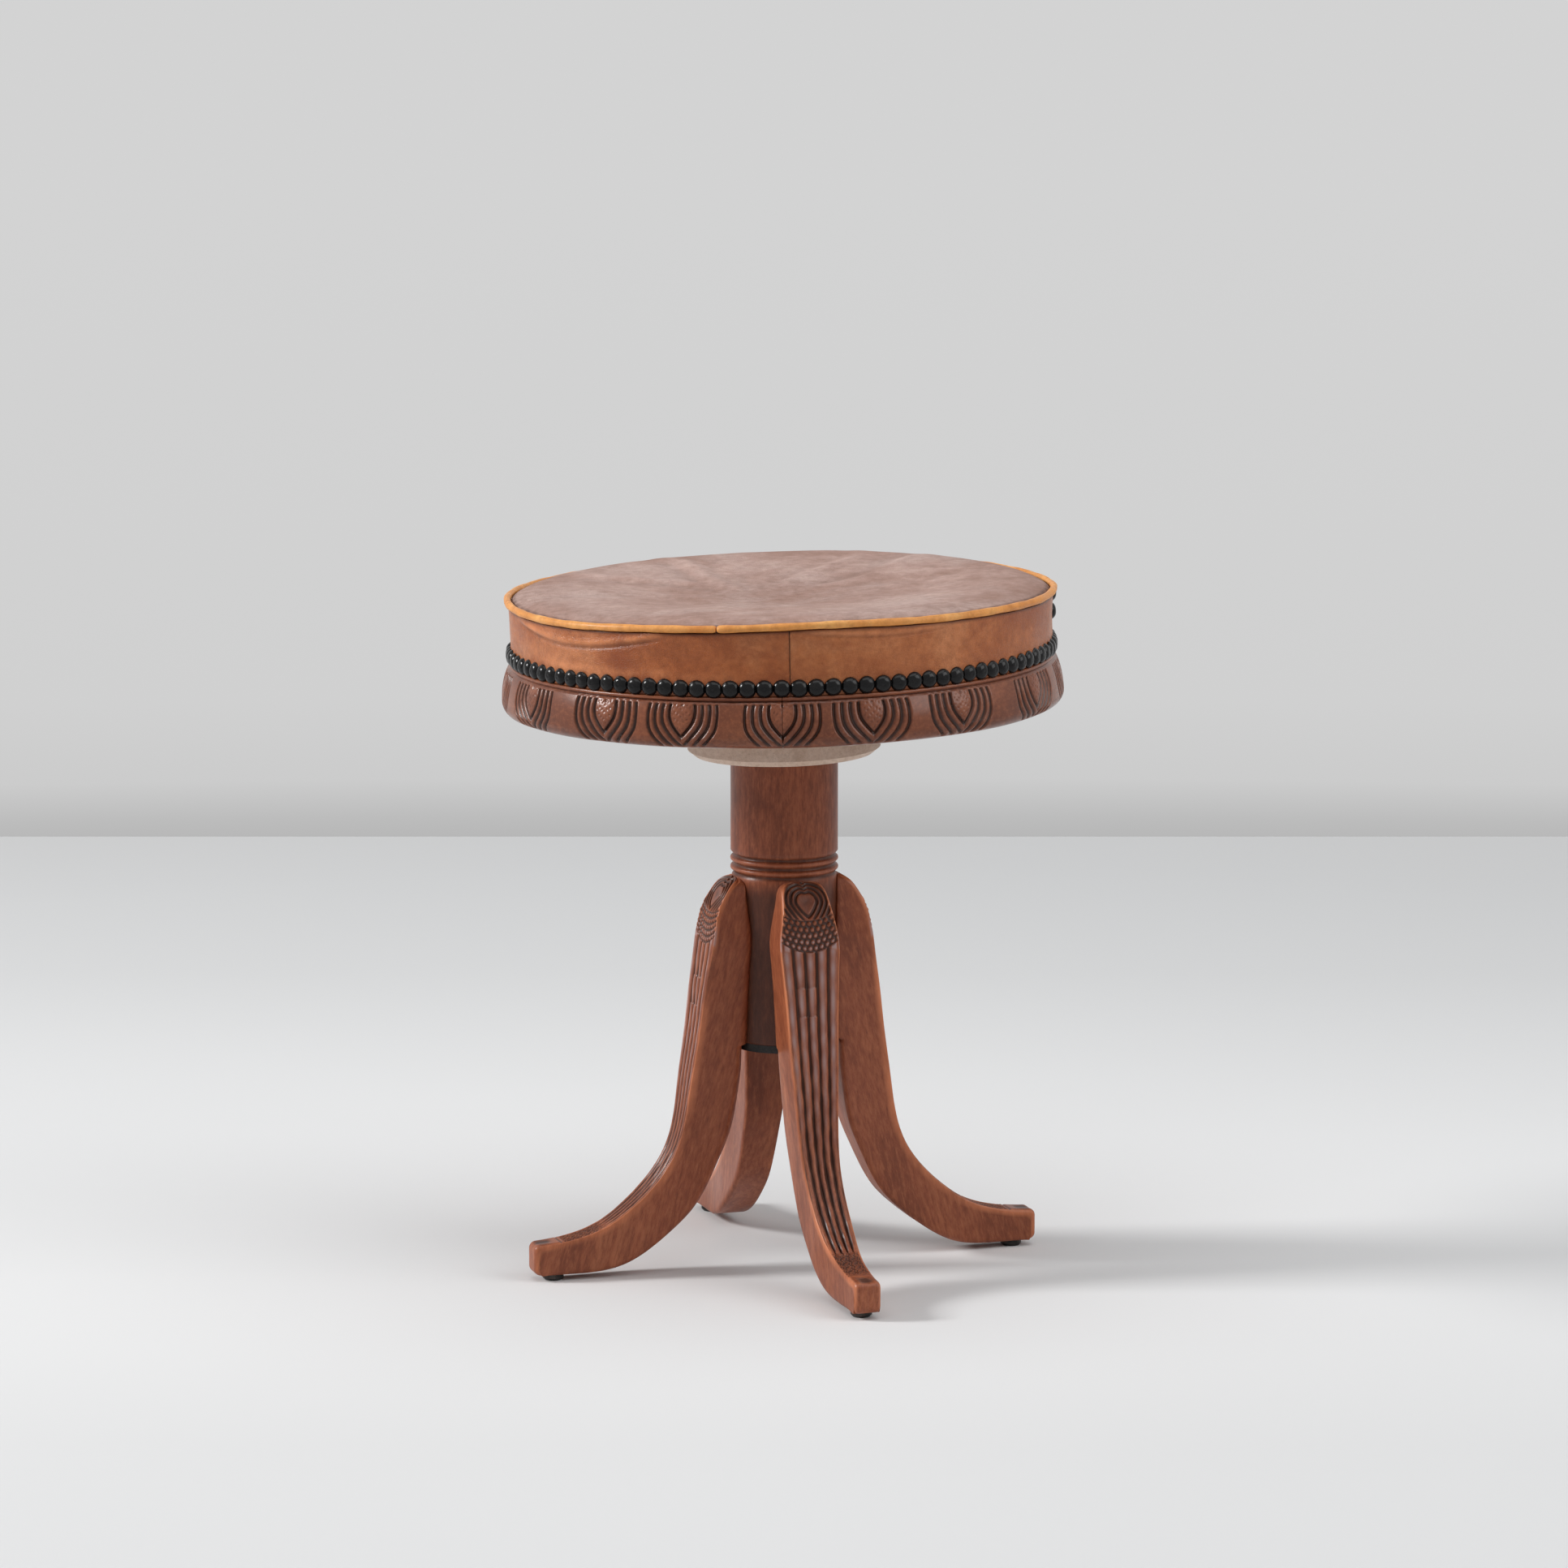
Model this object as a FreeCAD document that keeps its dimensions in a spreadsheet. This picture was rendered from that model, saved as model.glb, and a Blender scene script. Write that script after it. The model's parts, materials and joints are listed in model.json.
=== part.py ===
"""Carved wooden screw stool with a round leather seat, as a parametric document.

Millimetres. The origin is on the floor under the column's axis, +Z is up and -Y is the front.
The base (column, four sabre legs, nut) stands upright. The column's bore is drilled slightly
askew, so the screw and the whole seat on it lean a little towards -X, about the column's top.
"""
import FreeCAD, Part
import math
import os
import re

import Sketcher
from FreeCAD import Placement, Rotation, Vector

# Driving sizes in millimetres, degrees, counts and shares. Each one can be changed by itself.
SIZES = {
    # column
    "column_radius": 37.0,
    "column_waist": 0.8,
    "column_top": 358.0,
    "column_bottom": 160.0,
    "column_edge": 1.2,
    "bead_rise": 14.5,
    "bead_pitch": 6.2,
    "bead_groove": 1.7,
    "bore_spare": 19.0,
    # legs
    "leg_top": 275.0,
    "leg_shoulder_width": 35.4,
    "leg_arch_rise": 10.0,
    "leg_width": 42.0,
    "leg_knee_width": 26.8,
    "toe_width": 18.6,
    "toe_reach": 183.0,
    "toe_height": 22.0,
    "toe_round": 5.0,
    "toe_flat": 30.0,
    "first_leg_angle": 18.1,
    "dowels_per_leg": 2,
    "dowel_radius": 4.5,
    "dowel_length": 24.0,
    "dowel_sink": 11.0,
    "dowel_drop": 35.0,
    "dowel_spacing": 55.0,
    # iron plate under the column
    "plate_thickness": 5.2,
    "plate_side_gap": 0.5,
    "plate_screw_angle": 45.0,
    "plate_screw_circle": 24.0,
    "plate_screw_count": 4,
    "plate_screw_radius": 2.2,
    "plate_screw_length": 24.0,
    # glides under the toes
    "glide_radius": 7.3,
    "glide_height": 4.5,
    "glide_edge": 1.5,
    "glide_inset": 15.5,
    "glide_pin_radius": 1.1,
    "glide_pin_length": 13.0,
    # nut let into the column's top
    "seat_lean_angle": 1.32,
    "nut_drop": 1.2,
    "nut_flange_lip": 10.0,
    "nut_flange_thickness": 4.0,
    "nut_radius": 21.0,
    "nut_shelf": 1.0,
    "nut_length": 30.0,
    "nut_screw_angle": 90.0,
    "nut_screw_circle": 26.0,
    "nut_screw_count": 3,
    "nut_screw_radius": 1.7,
    "nut_screw_length": 18.0,
    # screw
    "thread_radius": 12.5,
    "thread_pitch": 8.0,
    "thread_depth": 2.2,
    "thread_crest": 2.0,
    "thread_root": 4.6,
    "rise": 104.0,
    "neck_step": 1.3,
    "collar_lip": 2.0,
    "collar_height": 10.0,
    "rod_head_lip": 3.0,
    "rod_head_height": 3.5,
    "rod_sink": 12.0,
    "screw_flange_radius": 32.0,
    "screw_flange_thickness": 4.0,
    "flange_screw_angle": 45.0,
    "flange_screw_circle": 24.0,
    "flange_screw_count": 4,
    "flange_screw_radius": 2.0,
    "flange_screw_length": 22.0,
    # boss under the seat
    "boss_radius": 66.4,
    "boss_height": 33.5,
    "boss_bevel": 5.0,
    "boss_bevel_height": 4.0,
    "boss_screw_angle": 45.0,
    "boss_screw_circle": 48.0,
    "boss_screw_count": 4,
    "boss_screw_radius": 2.6,
    "boss_screw_length": 60.0,
    # seat board; the rim and the bead stand proud of the board's upper part
    "board_radius": 183.6,
    "rim_proud": 9.4,
    "rim_height": 31.0,
    "rim_top_proud": 4.9,
    "rim_foot_proud": 2.4,
    "rim_belly": 9.0,
    "rim_swell": 0.25,
    "bead_height": 3.2,
    "bead_proud": 3.7,
    "board_above_bead": 14.0,
    "board_dowel_count": 4,
    "board_dowel_radius": 5.0,
    "board_dowel_length": 60.0,
    "board_dowel_spacing": 62.0,
    # upholstery
    "leather": 1.8,
    "band_gap": 0.45,
    "band_waist": 0.5,
    "band_flare": 1.15,
    "piping_radius": 2.7,
    "piping_proud": 3.0,
    "piping_height": 32.0,
    "piping_notch_angle": -103.0,
    "piping_notch_width_angle": 0.7,
    "hoop_thickness": 9.0,
    "hoop_drop": 4.5,
    "crown_inset": 24.3,
    "crown_height": 4.0,
    "shoulder_inset": 10.7,
    "shoulder_drop": 1.1,
    "dish_depth": 8.5,
    "front_seam_angle": -88.2,
    "rear_seam_angle": 4.0,
    "seam_gap": 0.15,
    # nails
    "nail_spacing": 0.6,
    "nail_radius": 5.4,
    "nail_dome": 3.2,
    "nail_shank_radius": 0.8,
    "nail_shank_length": 9.0,
    "nail_lift": 0.1,
    "seam_nail_count": 2,
    "seam_nail_low": 19.2,
    "seam_nail_pitch": 12.6,
    # flat head of a wood screw, as shares of its shank's radius
    "head_width": 2.0,
    "head_edge": 0.3,
    # clearances, and how far a blank runs past the surface that trims it
    "margin": 1.0,
    "lay": 0.3,
    "running": 0.05,
    "thread_play": 0.3,
    "turning_gap": 0.4,
    "hole_play": 0.05,
}

# Outlines of a leg as shares: first of the reach outwards from the column, or of a width, then
# of a height. OUTER runs down the carved edge, INNER from under the column to the foot.
LEG_OUTER_SHARES = (
    (0.050, 0.980), (0.087, 0.950), (0.116, 0.921), (0.134, 0.890), (0.143, 0.862), (0.153, 0.827),
    (0.164, 0.783), (0.189, 0.686), (0.213, 0.577), (0.254, 0.420), (0.322, 0.239), (0.431, 0.145),
    (0.540, 0.086), (0.663, 0.038), (0.796, 0.011),
)
LEG_INNER_SHARES = (
    (0.001, 0.903), (0.016, 0.775), (0.050, 0.608), (0.111, 0.466), (0.230, 0.264), (0.326, 0.177),
    (0.435, 0.098), (0.578, 0.026), (0.680, 0.005),
)
LEG_FRONT_SHARES = ((-0.092, 0.127), (0.0, 0.231), (0.5, 0.549), (0.92, 0.779), (1.0, 0.843))
LEG_ARCH_SHARES = ((1.068, 2.5), (1.0, 1.0), (0.72, 0.42), (0.0, -0.04))
LEG_PLAN_SHARES = (
    (1.756, 0.257), (1.195, 0.326), (0.89, 0.421), (0.707, 0.530), (0.244, 0.693), (0.049, 0.843),
    (0.0, 1.05),
)
# The dish of the seat's top: share of the crown's radius, share of the dish's depth.
DISH_SHARES = ((0.81, 0.13), (0.62, 0.42), (0.31, 0.83), (0.06, 0.995))
LEG_NAMES = ("leg_front", "leg_right", "leg_back", "leg_left")
GLIDE_NAMES = ("glide_front", "glide_right", "glide_back", "glide_left")
FRONT = -90.0
# A quarter round's middle point lies at this share of its two half-widths.
EIGHTH = math.sqrt(0.5)

doc = FreeCAD.newDocument("ScrewStool")
sheet = doc.addObject("Spreadsheet::Sheet", "Sizes")
for row, (alias, number) in enumerate(SIZES.items(), start=1):
    sheet.set("A%d" % row, alias)
    sheet.set("B%d" % row, str(number))
    sheet.setAlias("B%d" % row, alias)
doc.recompute()


def value(text):
    """Value of a sum such as 'column_top - 0.5*lay': words are sizes, factors stand before a *."""
    total = 0.0
    sign = 1.0
    for word in text.split():
        if word in ("+", "-"):
            sign = 1.0 if word == "+" else -1.0
            continue
        product = 1.0
        for factor in word.split("*"):
            product *= sheet.get(factor) if factor in SIZES else float(factor)
        total += sign * product
    return total


def formula(text):
    """The same sum as an expression on the sheet's cells."""
    return re.sub(r"[a-z_]+", lambda word: "Sizes." + word.group(0), text)


def bind(item, name, text):
    """Tie one property of an object to the sheet."""
    item.setExpression(name, formula(text))


# Heights and radii that several pieces share, as sums of the driving sizes.
LEAN_LIFT = math.tan(math.radians(SIZES["seat_lean_angle"])) * SIZES["column_radius"]
foot_radius = "column_radius - column_waist"
bead_top = "leg_top + bead_rise"
boss_bottom = "column_top + turning_gap + %.4f" % LEAN_LIFT
board_bottom = boss_bottom + " + boss_height"
bead_bottom = board_bottom + " + rim_height"
bead_crest = bead_bottom + " + bead_height"
board_top = bead_crest + " + board_above_bead"
nut_top = "column_top - nut_drop"
nut_bottom = nut_top + " - nut_length"
nut_flange_radius = "nut_radius + nut_flange_lip"
thread_core = "thread_radius - thread_depth"
neck_radius = thread_core + " - neck_step"
collar_top = nut_bottom + " - rise - lay"
collar_bottom = collar_top + " - collar_height"
rod_foot = collar_bottom + " - 0.5*lay"
piping_level = board_top + " + piping_height"
band_top_radius = "board_radius + band_gap + leather + band_flare"
piping_reach = band_top_radius + " + piping_proud"
top_radius = piping_reach + " - 2*piping_radius - lay"
nail_level = bead_crest + " + nail_radius + nail_lift"


def plane_of(body, role):
    """One of a body's own origin planes."""
    return [plane for plane in body.Origin.OriginFeatures if plane.Role == role][0]


def new_sketch(body, role, name):
    """An empty sketch on one of a body's own planes."""
    sketch = body.newObject("Sketcher::SketchObject", name)
    sketch.AttachmentSupport = [(plane_of(body, role), "")]
    sketch.MapMode = "FlatFace"
    return sketch


def tie_corner(sketch, edge, number, across, up):
    """Hold the end of an edge at two sums of sizes; a text of 0 puts it on the axis."""
    for kind, text, axis in (("DistanceX", across, -2), ("DistanceY", up, -1)):
        if text == "0":
            sketch.addConstraint(Sketcher.Constraint("PointOnObject", edge, 2, axis))
            continue
        index = sketch.addConstraint(Sketcher.Constraint(kind, -1, 1, edge, 2, value(text)))
        name = "corner_%d_%s" % (number, "across" if kind == "DistanceX" else "up")
        sketch.renameConstraint(index, name)
        bind(sketch, "Constraints." + name, text)


def tied_outline(body, role, corners):
    """A closed sketch of straight edges whose corners are bound to the sheet."""
    sketch = new_sketch(body, role, body.Name + "_outline")
    points = [Vector(value(across), value(up), 0) for across, up in corners]
    for number, end in enumerate(points):
        sketch.addGeometry(Part.LineSegment(points[number - 1], end), False)
    for number, (across, up) in enumerate(corners):
        following = (number + 1) % len(corners)
        sketch.addConstraint(Sketcher.Constraint("Coincident", number, 2, following, 1))
        tie_corner(sketch, number, number, across, up)
    return sketch


def drawn_outline(body, role, edges, name):
    """A sketch of curves that the code works out from the sheet's values."""
    sketch = new_sketch(body, role, name)
    for edge in edges:
        sketch.addGeometry(edge, False)
    return sketch


def revolve(body, sketch, angle=360.0):
    """Turn a sketch about the body's vertical axis."""
    turn = body.newObject("PartDesign::Revolution", body.Name + "_turn")
    turn.Profile = sketch
    turn.ReferenceAxis = (sketch, ["V_Axis"])
    turn.Angle = angle
    return turn


def turned(name, corners, angle=360.0, role="XZ_Plane"):
    """A lathe-turned body from an outline of bound corners."""
    body = doc.addObject("PartDesign::Body", name)
    revolve(body, tied_outline(body, role, corners), angle)
    return body


def polyline(points):
    """Straight sketch edges through points, without closing them."""
    return [Part.LineSegment(start, end) for start, end in zip(points, points[1:])]


def smooth(points):
    """One smooth curve through points."""
    curve = Part.BSplineCurve()
    curve.interpolate(Points=points)
    return curve


def rod(name, radius, height, base=("0", "0", "0"), placement=None):
    """A round bar standing on a bound level, optionally carried by a placement."""
    bar = doc.addObject("Part::Cylinder", name)
    bind(bar, "Radius", radius)
    bind(bar, "Height", height)
    spot = Placement(Vector(*[value(text) for text in base]), Rotation())
    bar.Placement = placement.multiply(spot) if placement else spot
    return bar


def solid_of_turn(points):
    """A turned solid from half-section points (radius, height), closed on the axis."""
    corners = [Vector(across, 0, up) for across, up in points]
    face = Part.Face(Part.makePolygon(corners + [corners[0]]))
    return face.revolve(Vector(0, 0, 0), Vector(0, 0, 1), 360.0)


def countersunk_screw(radius, length, play=0.0):
    """A wood screw with its flat head at height 0 and its shank upwards."""
    head = value("head_width") * radius + play
    edge = value("head_edge") * radius
    shank = radius + play
    points = [(0, -play), (head, -play), (head, edge), (shank, edge + head - shank),
              (shank, length - radius + play), (0, length + play)]
    return solid_of_turn(points)


def ring_of(shape, circle, count, level, first_turn, upwards=True):
    """Copies of a shape on a circle about the vertical axis, as one compound."""
    copies = []
    for number in range(count):
        turn = Rotation(Vector(0, 0, 1), first_turn + 360.0 * number / count)
        flip = Rotation() if upwards else Rotation(Vector(1, 0, 0), 180.0)
        copy = shape.copy()
        copy.Placement = Placement(turn.multVec(Vector(circle, 0, level)), turn.multiply(flip))
        copies.append(copy)
    return Part.makeCompound(copies)


def placed_shape(name, shape, placement=None):
    """An object for a shape that the code made, put in its place after its shape."""
    item = doc.addObject("Part::Feature", name)
    item.Shape = shape
    if placement:
        item.Placement = placement
    return item


def cut(name, base, tools):
    """One piece less the spaces that others take in it."""
    joined = tools[0]
    if len(tools) > 1:
        joined = doc.addObject("Part::MultiFuse", name + "_spaces")
        joined.Shapes = tools
    piece = doc.addObject("Part::Cut", name)
    piece.Base = base
    piece.Tool = joined
    return piece


def half_turn_body(name, corners, left):
    """Half of a turned piece, on the left or the right of the glue joint at X = 0."""
    body = turned(name, corners, 180.0, "YZ_Plane")
    if not left:
        body.Placement = Placement(Vector(), Rotation(Vector(0, 0, 1), 180.0))
    return body


# The seat's own frame leans about the middle of the column's top.
pivot = Vector(0, 0, value("column_top"))
LEAN = Placement(Vector(), Rotation(Vector(0, 1, 0), -value("seat_lean_angle")), pivot)


def column_piece():
    """The turned column, bored askew for the screw, with its sockets for nut, dowels and screws."""
    low_groove = bead_top + " - 2*bead_pitch"
    middle_groove = bead_top + " - bead_pitch"
    corners = [("0", "column_bottom"), (foot_radius, "column_bottom"),
               (foot_radius, low_groove + " - bead_groove")]
    for groove in (low_groove, middle_groove, bead_top):
        corners.append(("column_radius - bead_groove", groove))
        corners.append(("column_radius", groove + " + bead_groove"))
        if groove != bead_top:
            corners.append(("column_radius", groove + " + bead_pitch - bead_groove"))
    corners += [("column_radius", "column_top - column_edge"),
                ("column_radius - column_edge", "column_top"), ("0", "column_top")]
    blank = turned("column_blank", corners)
    bore_low = collar_bottom + " - rod_head_height - bore_spare"
    bore = rod("column_bore", "nut_radius - nut_shelf", "column_top - column_bottom",
               ("0", "0", bore_low), LEAN)
    socket = rod("nut_socket", "nut_radius + hole_play", "nut_length + column_radius",
                 ("0", "0", nut_bottom), LEAN)
    recess = rod("nut_recess", nut_flange_radius + " + hole_play", "column_radius",
                 ("0", "0", nut_top + " - nut_flange_thickness"), LEAN)
    nut_holes = placed_shape("nut_screw_holes", nut_screw_set(value("hole_play")), LEAN)
    plate_holes = placed_shape("plate_screw_holes", plate_screw_set(value("hole_play")))
    dowel_holes = placed_shape("leg_dowel_holes", leg_dowel_set(value("hole_play")))
    return cut("column", blank, [bore, socket, recess, nut_holes, plate_holes, dowel_holes])


def leg_dowel_set(play=0.0):
    """The dowels between the legs and the column, two to a leg, one above the other."""
    dowels = []
    for number in range(len(LEG_NAMES)):
        turn = Rotation(Vector(0, 0, 1), leg_turn(number))
        outwards = turn.multVec(Vector(1, 0, 0))
        for step in range(int(value("dowels_per_leg"))):
            height = value("leg_top - dowel_drop") - step * value("dowel_spacing")
            start = outwards * (value(foot_radius + " - dowel_sink") - play)
            start.z = height
            length = value("dowel_length") + 2 * play
            dowels.append(Part.makeCylinder(value("dowel_radius") + play, length, start, outwards))
    return Part.makeCompound(dowels)


def leg_turn(number):
    """Angle of a leg about the column: the first one stands to the front, turned a little."""
    return FRONT + value("first_leg_angle") + 360.0 * number / len(LEG_NAMES)


def plate_screw_set(play=0.0):
    """The screws that hold the iron plate under the column, heads down."""
    screw = countersunk_screw(value("plate_screw_radius"), value("plate_screw_length"), play)
    return ring_of(screw, value("plate_screw_circle"), int(value("plate_screw_count")),
                   value("column_bottom - plate_thickness"), leg_turn(0) + value("plate_screw_angle"))


def nut_screw_set(play=0.0):
    """The screws that hold the nut's flange in the column's top, heads up."""
    screw = countersunk_screw(value("nut_screw_radius"), value("nut_screw_length"), play)
    return ring_of(screw, value("nut_screw_circle"), int(value("nut_screw_count")),
                   value(nut_top), value("nut_screw_angle"), upwards=False)


def flange_screw_set(play=0.0):
    """The screws that hold the screw's flange in the boss, heads down."""
    screw = countersunk_screw(value("flange_screw_radius"), value("flange_screw_length"), play)
    return ring_of(screw, value("flange_screw_circle"), int(value("flange_screw_count")),
                   value(boss_bottom), value("flange_screw_angle"))


def boss_screw_set(play=0.0):
    """The long screws from the boss up into the seat board, heads down."""
    screw = countersunk_screw(value("boss_screw_radius"), value("boss_screw_length"), play)
    return ring_of(screw, value("boss_screw_circle"), int(value("boss_screw_count")),
                   value(boss_bottom), value("boss_screw_angle"))


def board_dowel_set(play=0.0):
    """The dowels across the glue joint of the seat board."""
    dowels = []
    length = value("board_dowel_length") + 2 * play
    level = value(board_bottom) + 0.5 * value("rim_height + bead_height + board_above_bead")
    count = int(value("board_dowel_count"))
    for number in range(count):
        across = (number - 0.5 * (count - 1)) * value("board_dowel_spacing")
        start = Vector(-0.5 * length, across, level)
        dowels.append(Part.makeCylinder(value("board_dowel_radius") + play, length, start,
                                        Vector(1, 0, 0)))
    return Part.makeCompound(dowels)


def prism(name, role, edges, length):
    """A drawn outline made solid to equal depths on both sides of its plane."""
    body = doc.addObject("PartDesign::Body", name)
    outline = drawn_outline(body, role, edges, name + "_outline")
    pad = body.newObject("PartDesign::Pad", name + "_pad")
    pad.Profile = outline
    pad.SideType = "Symmetric"
    bind(pad, "Length", length)
    return body


def leg_side_edges():
    """The leg seen from its side: shoulder, sabre curve, rounded toe and the edge at the column."""
    foot = value("glide_height")
    toe_top = foot + value("toe_height")
    inside = value(foot_radius)
    reach = value("toe_reach")
    top = value("leg_top")
    under = value("column_bottom")
    bend = value("toe_round")
    half = 0.5 * value("leg_width")
    sunk = math.sqrt(inside ** 2 - half ** 2) - value("margin")
    spread = reach - inside
    outer = [Vector(inside, top, 0)]
    outer += [Vector(inside + across * spread, toe_top + up * (top - toe_top), 0)
              for across, up in LEG_OUTER_SHARES]
    outer.append(Vector(reach - bend, toe_top, 0))
    inner = [Vector(inside, under, 0)]
    inner += [Vector(inside + across * spread, foot + up * (under - foot), 0)
              for across, up in LEG_INNER_SHARES]
    inner.append(Vector(reach - bend - value("toe_flat"), foot, 0))
    slant = EIGHTH * bend
    high = Vector(reach - bend, toe_top - bend, 0)
    low = Vector(reach - bend, foot + bend, 0)
    front = Vector(bend, 0, 0)
    edges = [smooth(outer),
             Part.Arc(outer[-1], high + Vector(slant, slant, 0), high + front),
             Part.LineSegment(high + front, low + front),
             Part.Arc(low + front, low + Vector(slant, -slant, 0), low - Vector(0, bend, 0)),
             Part.LineSegment(low - Vector(0, bend, 0), inner[-1]),
             smooth(inner)]
    return edges + polyline([inner[0], Vector(sunk, under, 0), Vector(sunk, top, 0), outer[0]])


def mirrored(points):
    """The same points on the other side of the middle line."""
    return [Vector(-point.x, point.y, 0) for point in points]


def leg_front_edges():
    """The leg seen from outside: a taper up to the widest place, then the rounded arch."""
    toe_top = value("glide_height + toe_height")
    top = value("leg_top")
    knee = 0.5 * value("leg_knee_width")
    widest = 0.5 * value("leg_width")
    shoulder = 0.5 * value("leg_shoulder_width")
    side = [Vector(knee + share * (widest - knee), toe_top + up * (top - toe_top), 0)
            for share, up in LEG_FRONT_SHARES]
    arch = [Vector(shoulder * share, top - up * value("leg_arch_rise"), 0)
            for share, up in LEG_ARCH_SHARES]
    low = Vector(side[0].x, -value("glide_height"), 0)
    edges = []
    for points in (side + arch[:2], arch[1:]):
        edges += [smooth(points), smooth(mirrored(points))]
    foot = [low, side[0]]
    return edges + polyline(foot) + polyline(mirrored(foot)) + polyline([low] + mirrored([low]))


def leg_plan_edges():
    """The leg seen from above, where only the foot tapers."""
    inside = value(foot_radius)
    spread = value("toe_reach") - inside
    knee = 0.5 * value("leg_knee_width")
    toe = 0.5 * value("toe_width")
    side = [Vector(inside + out * spread, toe + share * (knee - toe), 0)
            for share, out in LEG_PLAN_SHARES]
    far_side = [Vector(point.x, -point.y, 0) for point in side]
    clear = value("leg_width")
    back = [side[0], Vector(side[0].x, clear, 0), Vector(-clear, clear, 0),
            Vector(-clear, -clear, 0), Vector(side[0].x, -clear, 0), far_side[0]]
    return [smooth(side), smooth(far_side)] + polyline(back) + polyline([side[-1], far_side[-1]])


def leg_piece(number):
    """One sabre leg with its scribed seat, dowel sockets and the glide's hole, turned in place."""
    name = LEG_NAMES[number]
    side = prism(name + "_side", "XZ_Plane", leg_side_edges(), "2*leg_width")
    front = prism(name + "_front", "YZ_Plane", leg_front_edges(), "3*toe_reach")
    plan = prism(name + "_plan", "XY_Plane", leg_plan_edges(), "3*leg_top")
    turn = Placement(Vector(), Rotation(Vector(0, 0, 1), leg_turn(number)))
    for form in (side, front, plan):
        form.Placement = turn
    blank = doc.addObject("Part::MultiCommon", name + "_blank")
    blank.Shapes = [side, front, plan]
    seat = rod(name + "_seat", foot_radius, "column_top", ("0", "0", "column_bottom"))
    sockets = placed_shape(name + "_sockets", leg_dowel_set(value("hole_play")))
    pin = rod(name + "_pin_hole", "glide_pin_radius + hole_play", "glide_pin_length + hole_play",
              ("toe_reach - glide_inset", "0", "glide_height"), turn)
    return cut(name, blank, [seat, sockets, pin])


def glide_piece(number):
    """A nail-on glide under a toe: a low cap with its spike in one piece."""
    name = GLIDE_NAMES[number]
    corners = [("0", "0"), ("glide_radius - glide_edge", "0"), ("glide_radius", "glide_edge"),
               ("glide_radius", "glide_height"), ("glide_pin_radius", "glide_height"),
               ("glide_pin_radius", "glide_height + glide_pin_length"),
               ("0", "glide_height + glide_pin_length")]
    body = turned(name, corners)
    turn = Rotation(Vector(0, 0, 1), leg_turn(number))
    out = turn.multVec(Vector(value("toe_reach - glide_inset"), 0, 0))
    body.Placement = Placement(out, turn)
    return body


def plate_piece():
    """The iron plate screwed under the column, between the legs."""
    radius = foot_radius + " - plate_side_gap"
    blank = turned("column_plate_blank", [
        ("0", "column_bottom - plate_thickness"), (radius, "column_bottom - plate_thickness"),
        (radius, "column_bottom"), ("0", "column_bottom")])
    holes = placed_shape("plate_holes", plate_screw_set(value("hole_play")))
    return cut("column_plate", blank, [holes])


def thread_rib(play, low, high):
    """The screw's single-start thread as a rib round its core, grown all round by a play."""
    core = value(thread_core)
    crest = value("thread_radius") + play
    root_half = 0.5 * value("thread_root") + play
    crest_half = 0.5 * value("thread_crest") + play
    sunk = core - 0.5 * value("thread_depth")
    profile = Part.makePolygon([Vector(sunk, 0, low - root_half), Vector(crest, 0, low - crest_half),
                                Vector(crest, 0, low + crest_half),
                                Vector(sunk, 0, low + root_half),
                                Vector(sunk, 0, low - root_half)])
    helix = Part.makeHelix(value("thread_pitch"), high - low, core)
    helix.translate(Vector(0, 0, low))
    return Part.Wire(helix.Edges).makePipeShell([profile], True, True)


def screw_levels():
    """Lowest and highest middle of the thread's rib on the screw."""
    low = value(collar_top + " + lay + thread_root")
    return low, value(boss_bottom + " - thread_root")


def screw_rod_piece():
    """The iron screw: threaded bar, a neck for the stop collar and a riveted head below it."""
    head_radius = neck_radius + " + rod_head_lip"
    head_bottom = rod_foot + " - rod_head_height"
    neck_top = collar_top + " + 0.5*lay"
    tip = boss_bottom + " + screw_flange_thickness + rod_sink"
    bar = turned("screw_core", [
        ("0", head_bottom), (head_radius, head_bottom), (head_radius, rod_foot),
        (neck_radius, rod_foot), (neck_radius, neck_top), (thread_core, neck_top),
        (thread_core, tip), ("0", tip)])
    low, high = screw_levels()
    screw = doc.addObject("Part::Fuse", "screw_rod")
    screw.Base = bar
    screw.Tool = placed_shape("screw_thread", thread_rib(0.0, low, high))
    screw.Placement = LEAN
    return screw


def nut_piece():
    """The iron nut let into the column's top, tapped to match the screw."""
    shelf = nut_top + " - nut_flange_thickness"
    blank = turned("screw_nut_blank", [
        ("0", nut_bottom), ("nut_radius", nut_bottom), ("nut_radius", shelf),
        (nut_flange_radius, shelf), (nut_flange_radius, nut_top), ("0", nut_top)])
    low, high = screw_levels()
    pitch = value("thread_pitch")
    start = low + (math.floor((value(nut_bottom) - low) / pitch) - 1) * pitch
    turns = math.ceil((value(nut_top) - start) / pitch) + 1
    groove = thread_rib(value("thread_play"), start, start + turns * pitch)
    tap = doc.addObject("Part::Fuse", "nut_tap")
    tap.Base = rod("nut_bore", thread_core + " + thread_play",
                   "4*nut_length", ("0", "0", nut_bottom + " - nut_length"))
    tap.Tool = placed_shape("nut_thread", groove)
    holes = placed_shape("nut_flange_holes", nut_screw_set(value("hole_play")))
    nut = cut("screw_nut", blank, [tap, holes])
    nut.Placement = LEAN
    return nut


def collar_piece():
    """The stop collar, held between the screw's shoulder and its riveted head."""
    inner = neck_radius + " + running"
    outer = "thread_radius + collar_lip"
    body = turned("stop_collar", [(inner, collar_bottom), (outer, collar_bottom),
                                  (outer, collar_top), (inner, collar_top)])
    body.Placement = LEAN
    return body


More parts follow.
